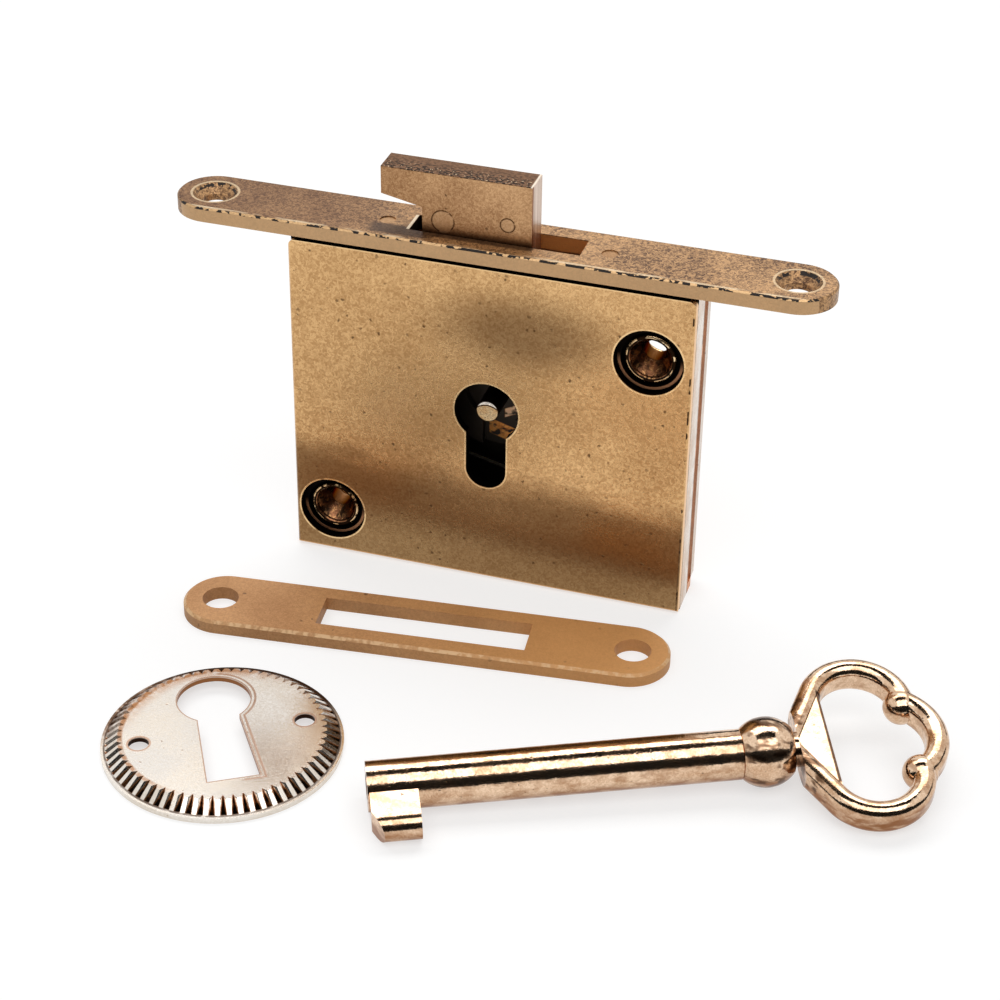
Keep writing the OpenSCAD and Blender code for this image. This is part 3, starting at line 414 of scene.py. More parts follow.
def cover_layers(tree, place, x, y, z):
    """Painted dark reflections, a broad one low on the face and a patch under its top, worn bright edges, painted
    shade on the top face in the gap under the plate, and dark recesses and keyhole walls.
    """
    on_face = ramp(tree, y, FACE_Y + 0.2, FACE_Y + 0.05)
    below = ramp(tree, y, FACE_Y + 0.05, FACE_Y + 0.2)
    sway = times(tree, speckle(tree, place, (9.0, 9.0, 4.0), 0.2, 0.8), DARK_REFLECTION_SWAY)
    level = calc(tree, "ADD", calc(tree, "MULTIPLY_ADD", x, DARK_REFLECTION_SLOPE, z), sway)
    from_key_reflection = away(tree, times(tree, x, KEY_REFLECTION_WIDTH), z, KEY_REFLECTION_MIDDLE)
    from_axis = rivet_axis(tree, x, z)
    low = ramp(tree, rivet_offset(tree, x, z)[1], 0.6, -1.4)
    nearest_z = calc(tree, "MINIMUM", calc(tree, "MAXIMUM", z, SLOT_FOOT_Z), KEYHOLE_Z)
    slot_z = calc(tree, "SUBTRACT", z, nearest_z)
    from_slot = calc(tree, "SUBTRACT", away(tree, x, slot_z, (0.0, 0.0)), SLOT_HALF)
    from_round = calc(tree, "SUBTRACT", away(tree, x, z, (0.0, KEYHOLE_Z)), KEYHOLE_R)
    from_hole = calc(tree, "MINIMUM", from_round, from_slot)
    worn = speckle(tree, place, (1.2, 1.2, 1.2), 0.25, 0.5)
    hole_edge = band(tree, from_hole, -0.05, 0.16, 0.1)
    recess_edge = band(tree, from_axis, RECESS_R - 0.05, RECESS_R + 0.16, 0.1)
    recess_ring = band(tree, from_axis, SEAT_R + 0.16, RECESS_R - 0.34, 0.08)
    recess_floor = band(tree, y, RECESS_Y - 0.08, RECESS_Y + 0.08, 0.05)
    low_seam = times(tree, ramp(tree, z, 18.0, 10.0, 0.0, 0.6), worn)
    seam = calc(tree, "MAXIMUM", speckle(tree, place, (1.0, 1.0, 1.4), 0.58, 0.64), low_seam)
    seam_line = band(tree, x, COVER_HALF - 0.3, COVER_HALF - 0.12, 0.06)
    side = ramp(tree, x, COVER_HALF - 0.1, COVER_HALF - 0.03)
    return [
        # Painted reflection: the face darker towards the bottom, as a dark reflection of the floor.
        (ramp(tree, level, *DARK_REFLECTION_LEVELS, 0.0, 0.6), COVER_DARK_REFLECTION, SMOOTH),
        # Painted reflection: a dark patch under the top of the face, as a reflection of the key.
        (times(tree, ramp(tree, from_key_reflection, 8.0, 1.5, 0.0, 0.62), on_face), COVER_KEY_REFLECTION, SMOOTH),
        (times(tree, hole_edge, on_face, 0.85), COVER_BRIGHT, BURNISHED),
        (times(tree, recess_edge, on_face, worn, 0.85), COVER_BRIGHT, BURNISHED),
        (times(tree, ramp(tree, z, COVER_TOP - 0.3, COVER_TOP - 0.1), 0.6), COVER_BRIGHT, BURNISHED),
        (times(tree, ramp(tree, z, COVER_FOOT + 0.45, COVER_FOOT + 0.25), 0.75), COVER_FOOT_EDGE, SMOOTH),
        (times(tree, seam_line, on_face, seam), COVER_SEAM, DULL),
        (times(tree, side, below, 0.9), COVER_SIDE, GROUND),
        # Painted shade on the cover's top face, in the gap under the plate.
        (ramp(tree, z, COVER_TOP - 0.06, COVER_TOP - 0.01), COVER_GAP_SHADE, MATT),
        (times(tree, ramp(tree, from_hole, 0.1, 0.02), below), KEYHOLE_WALL, MATT),
        (times(tree, ramp(tree, from_axis, RECESS_R + 0.1, RECESS_R + 0.03), below), RECESS_WALL, MATT),
        (times(tree, recess_ring, recess_floor, low), RECESS_FLOOR, SATIN),
    ]


cover_brass = brass("cover_brass", bright=(228, 186, 132), dull=(160, 116, 70), pit=(60, 38, 20),
                    cloud=(12.0, 0.25), grain=(0.5, 0.5), pits=(1.1, 0.6), roughness=(0.22, 0.32), relief=0.018,
                    layers=cover_layers)
dress(cover_brass, "front_cover")

# The hollow rivets: brass tubes that hold the case together, flared and rolled over at both ends.
# The rolled lip is worn bright in places, and the flare behind it has turned dark brown.
LIP_R, BORE_R = 3.36, 1.6
HIGHLIGHT_X, HIGHLIGHT_Z = -0.5, 0.87
FLARE_SHINE = 0.28
BORE_SHADE, FLARE_BROWN, FLARE_STAIN = (104, 64, 38), (136, 92, 64), (40, 29, 21)
FLARE_STREAK, FLARE_HIGHLIGHT = (196, 146, 96), (255, 226, 190)
LIP_BREAK, LIP_GROOVE, LIP_GAP_SHADE = (40, 26, 16), (34, 22, 14), (12, 9, 7)


def rivet_layers(tree, place, x, y, z):
    """The brown flare with golden streaks and one painted pale highlight, the broken lip, the dark groove inside it,
    painted shade in the gap outside it, and painted shade in the bore that darkens to the front."""
    from_axis = rivet_axis(tree, x, z)
    right, up = rivet_offset(tree, x, z)
    in_front = ramp(tree, y, 0.2, -0.2)
    narrow = ramp(tree, from_axis, BORE_R + 0.02, BORE_R - 0.1)
    bore = calc(tree, "MAXIMUM", narrow, ramp(tree, y, 0.4, 0.8))
    flare = times(tree, band(tree, from_axis, BORE_R + 0.02, LIP_R - 0.4, 0.12), in_front)
    outward = calc(tree, "ADD", times(tree, right, HIGHLIGHT_X), times(tree, up, HIGHLIGHT_Z))
    across = calc(tree, "ADD", times(tree, right, HIGHLIGHT_Z), times(tree, up, -HIGHLIGHT_X))
    flare_highlight = times(tree, band(tree, across, -0.35, 0.15, 0.3), ramp(tree, outward, 1.5, 1.9))
    streak = speckle(tree, place, (0.5, 1.2, 0.7), 0.5, 0.66)
    stain = speckle(tree, place, (0.9, 1.2, 0.9), 0.42, 0.6)
    broken = speckle(tree, place, (1.3, 1.3, 1.3), 0.44, 0.52)
    lip = ramp(tree, from_axis, LIP_R - 0.45, LIP_R - 0.35)
    groove = band(tree, from_axis, LIP_R - 0.45, LIP_R - 0.28, 0.06)
    return [
        # Painted shade in the bore, darker towards the front.
        (times(tree, bore, ramp(tree, y, 3.4, 1.0, 0.0, 0.93)), BORE_SHADE, SMOOTH),
        (flare, FLARE_BROWN, FLARE_SHINE),
        (times(tree, flare, stain, 0.9), FLARE_STAIN, GROUND),
        (times(tree, flare, streak, 0.6), FLARE_STREAK, BURNISHED),
        # Painted highlight: one pale gleam on the upper left of the flare.
        (times(tree, flare, flare_highlight, 0.8), FLARE_HIGHLIGHT, POLISHED),
        (times(tree, in_front, broken, lip), LIP_BREAK, DULL),
        (times(tree, in_front, groove), LIP_GROOVE, DULL),
        # Painted shade in the gap outside the lip.
        (times(tree, in_front, ramp(tree, from_axis, LIP_R, LIP_R + 0.1)), LIP_GAP_SHADE, MATT),
    ]


rivet_brass = brass("rivet_brass", bright=(248, 220, 176), dull=(206, 160, 106), pit=(60, 40, 26),
                    grain=(0.3, 0.4), roughness=(0.14, 0.26), edge=(110, 72, 46), layers=rivet_layers)
dress(rivet_brass, "hollow_rivet_upper", "hollow_rivet_lower")

# The top plate: brass strip with rounded ends and countersunk holes, riveted to the frame.
# Its top is ground to a satin finish and mottled, and its edges are bright with dark flecks.
PLATE_TOP, PLATE_FRONT = 50.8, -5.0
BOLT_SLOT_HALF, BOLT_SLOT_END, BOLT_SLOT_REACH = 2.2, 11.5, 13.0
SINK_X, SINK_R = 39.4, 3.0
PLATE_OUTSIDE = BOLT_SLOT_HALF + 1.5
PLATE_LEFT_DARKER, PLATE_WALL, PLATE_RIM, PLATE_FLECK = (98, 58, 24), (216, 174, 126), (206, 166, 118), (24, 16, 11)
PLATE_EDGE_HIGHLIGHT, PLATE_SHADE = (240, 214, 176), (58, 36, 21)
SINK_SHADE, SINK_RIM = (30, 20, 13), (240, 212, 170)
BOLT_SLOT_LIGHT, BOLT_SLOT_SHADE, BOLT_SLOT_RIM = (226, 150, 82), (24, 16, 11), (248, 228, 196)


def plate_layers(tree, place, x, y, z):
    """The bright chamfer with dark flecks, a painted highlight along the front edge, painted shade on the
    countersinks' backs, painted shadows beside the bolt and under the hook, and the slot's walls painted warm and
    bright as light, with painted shade at its left end."""
    from_middle = calc(tree, "ABSOLUTE", y)
    outside = ramp(tree, from_middle, PLATE_OUTSIDE, PLATE_OUTSIDE + 0.1)
    on_top = ramp(tree, z, PLATE_TOP - 0.06, PLATE_TOP - 0.02)
    rim = times(tree, band(tree, z, PLATE_TOP - 0.3, PLATE_TOP - 0.06, 0.05), outside)
    wall = times(tree, ramp(tree, z, PLATE_TOP - 0.2, PLATE_TOP - 0.3), outside)
    flecks = speckle(tree, place, (0.9, 0.9, 0.8), 0.46, 0.51)
    front_edge = band(tree, y, PLATE_FRONT + 0.25, PLATE_FRONT + 0.5, 0.15)
    arris = times(tree, front_edge, on_top, speckle(tree, place, (4.0, 1.0, 1.0), 0.4, 0.6))
    under_hook = times(tree, band(tree, x, -15.5, -9.6, 2.5), band(tree, y, -3.7, -1.9, 0.8))
    by_bolt = times(tree, band(tree, x, -9.8, 5.2, 0.3), band(tree, y, -2.9, -2.0, 0.5))
    shade = calc(tree, "MAXIMUM", under_hook, by_bolt)
    sunk = ramp(tree, z, PLATE_TOP - 0.05, PLATE_TOP - 0.2)
    slot_length = ramp(tree, calc(tree, "ABSOLUTE", x), BOLT_SLOT_REACH + 1.0, BOLT_SLOT_REACH)
    slot = times(tree, ramp(tree, from_middle, BOLT_SLOT_HALF + 0.2, BOLT_SLOT_HALF + 0.05), slot_length)
    slot_end = band(tree, x, -BOLT_SLOT_END - 0.35, -BOLT_SLOT_END, 0.1)
    slot_width = ramp(tree, from_middle, BOLT_SLOT_HALF, BOLT_SLOT_HALF - 0.2)
    sinks = calc(tree, "MINIMUM", *[away(tree, x, y, (side, 0.0)) for side in (-SINK_X, SINK_X)])
    sink_wall = band(tree, sinks, SINK_R - 0.45, SINK_R - 0.1, 0.1)
    sink_rim = band(tree, sinks, SINK_R, SINK_R + 0.25, 0.1)
    return [
        # The top is darker towards the left end.
        (times(tree, on_top, ramp(tree, x, -8.0, -26.0, 0.0, 0.55)), PLATE_LEFT_DARKER, SATIN),
        (times(tree, wall, 0.85), PLATE_WALL, GROUND),
        (rim, PLATE_RIM, SMOOTH),
        (times(tree, rim, flecks), PLATE_FLECK, DULL),
        # Painted highlight along the top's front edge.
        (times(tree, arris, 0.7), PLATE_EDGE_HIGHLIGHT, SMOOTH),
        # Painted shade on the back walls of the countersinks.
        (times(tree, sink_wall, ramp(tree, y, -0.8, 0.8), flecks), SINK_SHADE, DULL),
        (times(tree, sink_rim, on_top, 0.6), SINK_RIM, SMOOTH),
        # Painted shadows beside the bolt and under the hook.
        (times(tree, shade, on_top, 0.8), PLATE_SHADE, SATIN),
        # Painted light: the slot's walls painted warm and bright; painted shade at its left end.
        (times(tree, sunk, slot), BOLT_SLOT_LIGHT, SCUFFED),
        (times(tree, sunk, slot, ramp(tree, x, -8.0, -9.5)), BOLT_SLOT_SHADE, DULL),
        (times(tree, on_top, slot_end, slot_width), BOLT_SLOT_RIM, SMOOTH),
    ]


plate_brass = brass("plate_brass", bright=(214, 166, 114), dull=(84, 55, 33), pit=(60, 40, 26),
                    cloud=(7.0, 0.3), grain=(0.45, 0.75), roughness=(0.34, 0.46), metal=0.5, layers=plate_layers)
dress(plate_brass, "selvedge_plate")
plate_rivet_brass = brass("plate_rivet_brass", bright=(190, 150, 108), dull=(130, 92, 60), pit=(70, 46, 28),
                          roughness=(0.3, 0.45))
dress(plate_rivet_brass, "selvedge_rivets")

# The strike plate: brass strip with round ends, two screw holes and the slot that the hook enters.
# It is stamped, its edges are tumbled bright, and its top keeps an even orange-brown skin.
STRIKE_TOP, STRIKE_CHAMFER = 1.9, 0.35
STRIKE_MIDDLE, STRIKE_TURN = (-3.6, -19.9), np.radians(6)
STRIKE_RUN, STRIKE_R = 27.6, 5.6
STRIKE_PAINTED_LIGHT, STRIKE_EDGE = (252, 186, 112), (236, 196, 146)


def turned(tree, offs, angle):
    """Two offsets, measured along and across a direction at this angle from the x axis."""
    cosine, sine = float(np.cos(angle)), float(np.sin(angle))
    along = calc(tree, "ADD", times(tree, offs[0], cosine), times(tree, offs[1], sine))
    side = calc(tree, "SUBTRACT", times(tree, offs[1], cosine), times(tree, offs[0], sine))
    return along, side


def strike_layers(tree, place, x, y, z):
    """Painted light on the right end, and the chamfer round the outline, worn bright in places."""
    along, side = turned(tree, offsets(tree, (x, y), STRIKE_MIDDLE), STRIKE_TURN)
    over = calc(tree, "MAXIMUM", calc(tree, "SUBTRACT", calc(tree, "ABSOLUTE", along), STRIKE_RUN), 0.0)
    inner_r = STRIKE_R - STRIKE_CHAMFER
    rim = ramp(tree, away(tree, over, side, (0.0, 0.0)), inner_r - 0.06, inner_r + 0.02)
    chamfer = times(tree, rim, band(tree, z, STRIKE_TOP - STRIKE_CHAMFER, STRIKE_TOP, 0.04))
    worn = speckle(tree, place, (0.9, 0.9, 1.0), 0.4, 0.62)
    return [
        # Painted light: the right end made lighter, against the shade that falls on it.
        (ramp(tree, along, -12.0, 24.0, 0.0, 0.45), STRIKE_PAINTED_LIGHT, DULL),
        (times(tree, chamfer, between(tree, worn, 0.1, 0.75)), STRIKE_EDGE, GROUND),
    ]


strike_brass = brass("strike_brass", bright=(212, 158, 104), dull=(178, 126, 78), pit=(100, 64, 36),
                     grain=(0.4, 0.5), roughness=(0.5, 0.6), metal=0.12, layers=strike_layers)
dress(strike_brass, "strike_plate")

# The escutcheon: a round plate pressed from thin brass sheet, with a ribbed slope, polished bright.
# Dark polish stays in the grooves between the ribs and at the foot of the slope.
ESC_MIDDLE, ESC_TURN, ESC_GROOVES, ESC_RIB_R = (-20.1, -50.0), np.radians(31.5), 64, 14
ESC_FLAT_R, ESC_SLOPE_R, ESC_TOP = 13.15, 14.85, 2.1
ESC_PIN_R, ESC_PIN_OUT = 1.3, 10.5
ESC_HOLE_R, ESC_HOLE_UP, ESC_FOOT = 4.7, 6.9, 9.4
ESC_SLOT_UPPER, ESC_SLOT_LOWER = 2.45, 3.3
ESC_NARROWING = (ESC_SLOT_UPPER - ESC_SLOT_LOWER) / (ESC_HOLE_UP + ESC_FOOT)
ESC_SLOT_HALF = ESC_SLOT_UPPER - ESC_NARROWING * ESC_HOLE_UP
ESC_AXIS = np.array([np.cos(ESC_TURN), np.sin(ESC_TURN)])
ESC_PINS = [tuple(np.array(ESC_MIDDLE) + side * ESC_PIN_OUT * ESC_AXIS) for side in (-1, 1)]
ESC_FLAT_SHADE, ESC_RING_SHADE = (170, 118, 74), (150, 100, 58)
ESC_GROOVE_BROWN, ESC_GROOVE_BLACK = (150, 100, 60), (20, 13, 9)
ESC_HOLE_EDGE, ESC_PIN_EDGE, ESC_PIN_WALL = (140, 92, 56), (146, 96, 58), (44, 26, 17)
SLOPE_SHADE, SLOPE_FOOT, SLOPE_LINE = (46, 30, 18), (52, 32, 18), (70, 44, 26)


def escutcheon_layers(tree, place, x, y, z):
    """Brown and black in the grooves, painted brown shade on the upper left towards the slope and as a ring inside the
    grooves on the left, painted shade on the slope's upper left, brown hole walls and a dark line at the slope's foot."""
    right, rise = offsets(tree, (x, y), ESC_MIDDLE)
    radius = away(tree, x, y, ESC_MIDDLE)
    worn = speckle(tree, place, (1.1, 1.1, 1.1), 0.25, 0.6)
    upper_left = ramp(tree, calc(tree, "SUBTRACT", rise, right), 6.0, 15.0)
    left = times(tree, ramp(tree, right, 2.0, -8.0), between(tree, worn, 0.5, 1.0))
    on_top = ramp(tree, z, ESC_TOP - 0.1, ESC_TOP - 0.02)

    # Grooves: the distance from the nearest one's middle line. They are thinner on the left and near the flat.
    angle = calc(tree, "SUBTRACT", calc(tree, "ARCTAN2", rise, right), ESC_TURN)
    phase = calc(tree, "FRACT", times(tree, angle, ESC_GROOVES / (2 * np.pi)))
    rib_pitch = 2 * np.pi * ESC_RIB_R / ESC_GROOVES
    off = times(tree, calc(tree, "ABSOLUTE", calc(tree, "SUBTRACT", phase, 0.5)), rib_pitch)
    thin = ramp(tree, right, -8.5, -12.0, 0.0, 0.22)
    inward = calc(tree, "SUBTRACT", radius, ESC_SLOPE_R)
    taper = calc(tree, "MULTIPLY_ADD", inward, 0.14, times(tree, worn, 0.08))
    narrowed = calc(tree, "SUBTRACT", calc(tree, "ADD", off, thin), taper)
    ribs = band(tree, radius, ESC_FLAT_R - 0.6, ESC_SLOPE_R - 0.2, 0.15)
    deep = times(tree, ramp(tree, right, -12.5, -6.0, 0.3, 1.0), between(tree, worn, 0.55, 1.0))

    # Keyhole: the distance from its edge, that of the round and the slot that widens downwards.
    slot_right, slot_up = turned(tree, (right, rise), ESC_TURN)
    half = calc(tree, "MULTIPLY_ADD", slot_up, ESC_NARROWING, ESC_SLOT_HALF)
    flank = calc(tree, "SUBTRACT", calc(tree, "ABSOLUTE", slot_right), half)
    from_slot = calc(tree, "MAXIMUM", flank, calc(tree, "SUBTRACT", -ESC_FOOT, slot_up))
    in_slot = calc(tree, "MAXIMUM", from_slot, calc(tree, "SUBTRACT", slot_up, ESC_HOLE_UP))
    from_round = calc(tree, "SUBTRACT", away(tree, slot_right, slot_up, (0.0, ESC_HOLE_UP)), ESC_HOLE_R)
    from_hole = calc(tree, "MINIMUM", from_round, in_slot)
    bevel = times(tree, band(tree, from_hole, 0.5, 0.66, 0.14), ramp(tree, slot_right, 0.5, 1.5))
    hole_edge = calc(tree, "MAXIMUM", band(tree, from_hole, -0.02, 0.1, 0.1), bevel)

    pins = calc(tree, "MINIMUM", *[away(tree, x, y, centre) for centre in ESC_PINS])
    flat = ramp(tree, radius, ESC_FLAT_R - 0.5, ESC_FLAT_R - 0.8)
    walls = times(tree, flat, ramp(tree, z, ESC_TOP - 0.05, ESC_TOP - 0.2))
    tan = times(tree, ramp(tree, radius, ESC_FLAT_R - 2.6, ESC_FLAT_R - 0.2), upper_left)
    ring = band(tree, radius, ESC_FLAT_R - 0.55, ESC_FLAT_R - 0.2, 0.3)
    slope = ramp(tree, radius, ESC_FLAT_R + 0.1, ESC_FLAT_R + 0.6)
    slope_foot = ramp(tree, radius, ESC_SLOPE_R - 0.1, ESC_SLOPE_R)
    foot_line = band(tree, radius, ESC_SLOPE_R - 0.1, ESC_SLOPE_R + 0.06, 0.08)
    return [
        # Painted shade: brown on the upper left, towards the slope.
        (times(tree, tan, between(tree, worn, 0.35, 1.0), 0.8), ESC_FLAT_SHADE, SMOOTH),
        # Painted shade: a brown ring inside the grooves on the left.
        (times(tree, ring, left, 0.85), ESC_RING_SHADE, SMOOTH),
        (times(tree, ribs, ramp(tree, narrowed, 0.46, 0.3)), ESC_GROOVE_BROWN, SMOOTH),
        (times(tree, ribs, ramp(tree, narrowed, 0.34, 0.2), deep), ESC_GROOVE_BLACK, DULL),
        (times(tree, hole_edge, on_top, 0.75), ESC_HOLE_EDGE, GROUND),
        (times(tree, slope, upper_left, worn, 0.85), SLOPE_SHADE, SATIN),
        (times(tree, slope_foot, ramp(tree, rise, 6.0, 12.0)), SLOPE_FOOT, SATIN),
        (times(tree, foot_line, between(tree, worn, 0.4, 0.8)), SLOPE_LINE, DULL),
        (times(tree, band(tree, pins, ESC_PIN_R, ESC_PIN_R + 0.2, 0.12), on_top, 0.7), ESC_PIN_EDGE, SATIN),
        (walls, ESC_HOLE_EDGE, SATIN),
        (times(tree, walls, ramp(tree, pins, ESC_PIN_R + 0.3, ESC_PIN_R + 0.2)), ESC_PIN_WALL, DULL),
    ]


escutcheon_brass = brass("escutcheon_brass", bright=(234, 228, 221), dull=(212, 200, 184), pit=(150, 108, 66),
                         grain=(0.3, 0.5), pits=(0.8, 0.16), roughness=(0.14, 0.24), relief=0.004,
                         layers=escutcheon_layers)
dress(escutcheon_brass, "escutcheon")

# The key: a bored barrel, a bit, a ball collar and an open bow, cast in brass.
# It is polished by hand, which leaves brown in the low places; painted dark reflection makes its lower half browner
# and darkens its collar.
KEY_TIP, KEY_TURN = (1.2, -55.7), np.radians(24.2)
KEY_AXIS_Z, KEY_RISE = 3.15, 0.025
KEY_COLLAR = 46.6, 54.6
KEY_WEB_END, KEY_WEB_HALF = 57.2, 7.1
KEY_SHINE = 0.16
KEY_PATCH, KEY_LOW_REFLECTION, KEY_COLLAR_REFLECTION, KEY_WEB_LINE = (150, 104, 66), (142, 92, 54), (70, 44, 27), (50, 30, 18)


def key_layers(tree, place, x, y, z):
    """A dark line along the end of the bow's web, brown patches that the polish left, a lower half made browner by
    painted dark reflection, and the collar darkened by painted dark reflection.
    """
    along, side = turned(tree, offsets(tree, (x, y), KEY_TIP), KEY_TURN)
    axis_z = calc(tree, "MULTIPLY_ADD", along, KEY_RISE, KEY_AXIS_Z)
    low = ramp(tree, calc(tree, "SUBTRACT", z, axis_z), -0.4, -1.7)
    uneven = between(tree, speckle(tree, place, (2.4, 2.4, 0.9), 0.35, 0.62), 0.45, 0.95)
    patches = speckle(tree, place, (2.6, 1.4, 1.0), 0.47, 0.64)
    web = ramp(tree, calc(tree, "ABSOLUTE", side), KEY_WEB_HALF + 0.2, KEY_WEB_HALF - 0.2)
    web_line = band(tree, along, KEY_WEB_END - 0.3, KEY_WEB_END + 0.9, 0.2)
    return [
        (times(tree, patches, 0.45), KEY_PATCH, POLISHED),
        # Painted reflection: the lower half made browner, as a dark reflection of the floor.
        (times(tree, low, uneven), KEY_LOW_REFLECTION, KEY_SHINE),
        # Painted reflection: brown patches darken the collar.
        (times(tree, band(tree, along, *KEY_COLLAR, 0.6), patches, 0.8), KEY_COLLAR_REFLECTION, POLISHED),
        (times(tree, web_line, web, 0.95), KEY_WEB_LINE, BURNISHED),
    ]


key_brass = brass("key_brass", bright=(238, 208, 178), dull=(168, 122, 82), pit=(60, 38, 24),
                  cloud=(3.0, 0.35), grain=(0.4, 0.35), pits=(0.8, 0.24), roughness=(0.07, 0.16), wave=(1.5, 3.4),
                  relief=0.01, layers=key_layers)
dress(key_brass, "key_barrel", "key_bit", "key_collar", "key_bow")

# The floor: a plain pale sheet that the set stands on.
# It shows as white to the camera and to the polished metal, and keeps the set's soft shadow.
FLOOR_HALF = 3.0
FLOOR_SHADE, FLOOR_GLOW = 0.45, 0.62


def grid_mesh(name, points):
    """A mesh of the quads between neighbours on a grid of points."""
    rows, columns = points.shape[:2]
    index = np.arange(rows * columns).reshape(rows, columns)
    quads = np.stack([index[:-1, :-1], index[1:, :-1], index[1:, 1:], index[:-1, 1:]], -1).reshape(-1, 4)
    mesh = bpy.data.meshes.new(name)
    mesh.from_pydata(points.reshape(-1, 3).tolist(), [], quads.tolist())
    made = bpy.data.objects.new(name, mesh)
    bpy.context.scene.collection.objects.link(made)
    return made


def seen_directly(tree):
    """1 for a ray from the camera, a mirror or glass, and 0 for soft light."""
    path = put(tree, "ShaderNodeLightPath").outputs
    mirrored = calc(tree, "MAXIMUM", path["Is Glossy Ray"], path["Is Transmission Ray"])
    return calc(tree, "MAXIMUM", path["Is Camera Ray"], mirrored)


ends = [-FLOOR_HALF, FLOOR_HALF]
across, along = np.meshgrid(ends, ends, indexing="ij")
floor = grid_mesh("floor", np.stack([across, along, np.zeros((2, 2))], -1))
floor_paint = bpy.data.materials.new("floor_paint")
floor_paint.use_nodes = True
floor_tree = floor_paint.node_tree
floor_tree.nodes.clear()
floor_colour = (FLOOR_SHADE, FLOOR_SHADE, FLOOR_SHADE, 1)
floor_strength = times(floor_tree, seen_directly(floor_tree), FLOOR_GLOW)
floor_diffuse = put(floor_tree, "ShaderNodeBsdfDiffuse", None, {"Color": floor_colour})
floor_glow = put(floor_tree, "ShaderNodeEmission", None, {"Strength": floor_strength})
floor_sum = put(floor_tree, "ShaderNodeAddShader", None, {0: floor_diffuse.outputs[0], 1: floor_glow.outputs[0]})
put(floor_tree, "ShaderNodeOutputMaterial", None, {0: floor_sum.outputs[0]})
floor_paint.cycles.emission_sampling = "NONE"
floor.data.materials.append(floor_paint)

# The room: white walls, seen by the camera and by mirrors at full strength.
# As a light it is weak, and the soft boxes do the lighting.
ROOM_LIGHT = 0.25
studio = bpy.data.worlds.new("studio")
bpy.context.scene.world = studio
studio.use_nodes = True
studio_tree = studio.node_tree
studio_tree.nodes.clear()
studio_strength = calc(studio_tree, "MAXIMUM", seen_directly(studio_tree), ROOM_LIGHT)
studio_light = put(studio_tree, "ShaderNodeBackground", None, {"Color": (1, 1, 1, 1), "Strength": studio_strength})
put(studio_tree, "ShaderNodeOutputWorld", None, {0: studio_light.outputs[0]})
studio.cycles.sampling_method = "NONE"

# The soft boxes: two wide lamps over the set, one to the back and one to the front.
# They lie along the key, so that its barrel mirrors each as a line.
TABLE_ALONG = np.array([np.cos(KEY_TURN), np.sin(KEY_TURN), 0])
TABLE_FRONT = np.array([np.sin(KEY_TURN), -np.cos(KEY_TURN), 0])
UP = np.array([0, 0, 1.0])


def overhead(angle):
    """The direction at this angle, in radians, from straight up towards the front."""
    return np.cos(angle)[..., None] * UP + np.sin(angle)[..., None] * TABLE_FRONT


def soft_box(name, middle, span, width, distance, radiance):
    """An area lamp that covers span degrees about an overhead angle in degrees and gives this radiance."""
    depth = 2 * distance * np.tan(np.radians(span / 2))
    lamp = bpy.data.lights.new(name, "AREA")
    lamp.shape = "RECTANGLE"
    lamp.size, lamp.size_y = width, depth
    lamp.energy = 4 * width * depth * radiance
    made = bpy.data.objects.new(name, lamp)
    bpy.context.scene.collection.objects.link(made)
    back = overhead(np.radians(middle))
    turn = np.eye(4)
    turn[:3, 0], turn[:3, 1], turn[:3, 2] = TABLE_ALONG, np.cross(back, TABLE_ALONG), back
    turn[:3, 3] = back * distance
    made.matrix_world = Matrix(turn.tolist())


soft_box("soft_box_back", middle=-29, span=28, width=1.6, distance=1.2, radiance=2.2)
soft_box("soft_box_front", middle=28, span=36, width=1.4, distance=1.2, radiance=1.3)

# The dark cards: bent sheets of black card round the set, for the polished metal to mirror.
# Only reflections see them.
CARD_BLACK, CARD_DISTANCE, CARD_STEPS = (0.01, 0.01, 0.01, 1), 0.9, 17
card_black = bpy.data.materials.new("card_black")
card_black.use_nodes = True
card_sockets = card_black.node_tree.nodes["Principled BSDF"].inputs
card_sockets["Base Color"].default_value = CARD_BLACK
card_sockets["Roughness"].default_value = 1.0


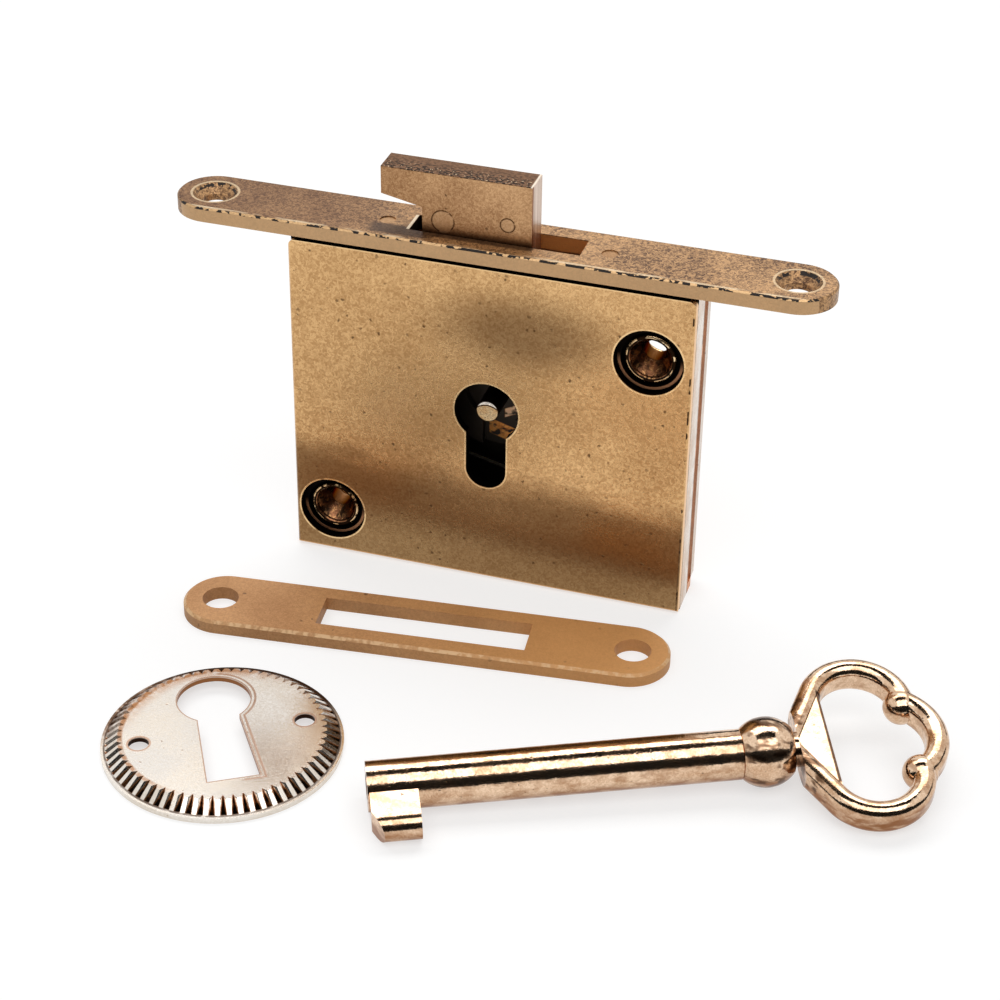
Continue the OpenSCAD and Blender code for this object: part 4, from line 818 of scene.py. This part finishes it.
def dark_card(name, overhead_span, side_span):
    """A dark card, a piece of a sphere between two overhead angles and two side angles, in degrees."""
    steps = [np.radians(np.linspace(*span, CARD_STEPS)) for span in (overhead_span, side_span)]
    angle, side = np.meshgrid(*steps, indexing="ij")
    around = np.cos(side)[..., None] * overhead(angle) + np.sin(side)[..., None] * TABLE_ALONG
    card = grid_mesh(name, CARD_DISTANCE * around)
    card.data.materials.append(card_black)
    card.visible_camera = card.visible_diffuse = card.visible_shadow = False
    card.visible_transmission = card.visible_volume_scatter = False


dark_card("card_above", (-16, 9), (-30, 28))
dark_card("card_front", (45, 88), (-80, 80))
dark_card("card_back", (-90, -74), (-25, 65))
dark_card("card_left", (-60, 80), (-86, -74))
dark_card("card_right", (-60, 80), (74, 86))

# The camera: a long lens in front of the set, to the right of it and above, held with a slight roll.
# Its distance and its shifts are in metres.
CAMERA_AZIMUTH, CAMERA_ELEVATION, CAMERA_ROLL = np.radians([16.88, 33.0, 0.84])
CAMERA_DISTANCE = 0.3500
CAMERA_SIDE, CAMERA_RISE = 0.00080, 0.00843
level_back = np.array([np.sin(CAMERA_AZIMUTH), -np.cos(CAMERA_AZIMUTH), 0])
level_right = np.array([np.cos(CAMERA_AZIMUTH), np.sin(CAMERA_AZIMUTH), 0])
view_back = np.cos(CAMERA_ELEVATION) * level_back + np.sin(CAMERA_ELEVATION) * UP
level_up = np.cross(view_back, level_right)
view_right = np.cos(CAMERA_ROLL) * level_right + np.sin(CAMERA_ROLL) * level_up
view_up = np.cos(CAMERA_ROLL) * level_up - np.sin(CAMERA_ROLL) * level_right
lens = bpy.data.cameras.new("camera")
lens.sensor_fit = "HORIZONTAL"
lens.sensor_width, lens.lens = 36, 90
lens.clip_start = 0.01
camera = bpy.data.objects.new("camera", lens)
bpy.context.scene.collection.objects.link(camera)
view_place = np.eye(4)
view_place[:3, 0], view_place[:3, 1], view_place[:3, 2] = view_right, view_up, view_back
view_place[:3, 3] = CAMERA_SIDE * view_right + CAMERA_RISE * view_up + CAMERA_DISTANCE * view_back
camera.matrix_world = Matrix(view_place.tolist())
bpy.context.scene.camera = camera
bpy.context.scene.view_settings.view_transform = "Standard"
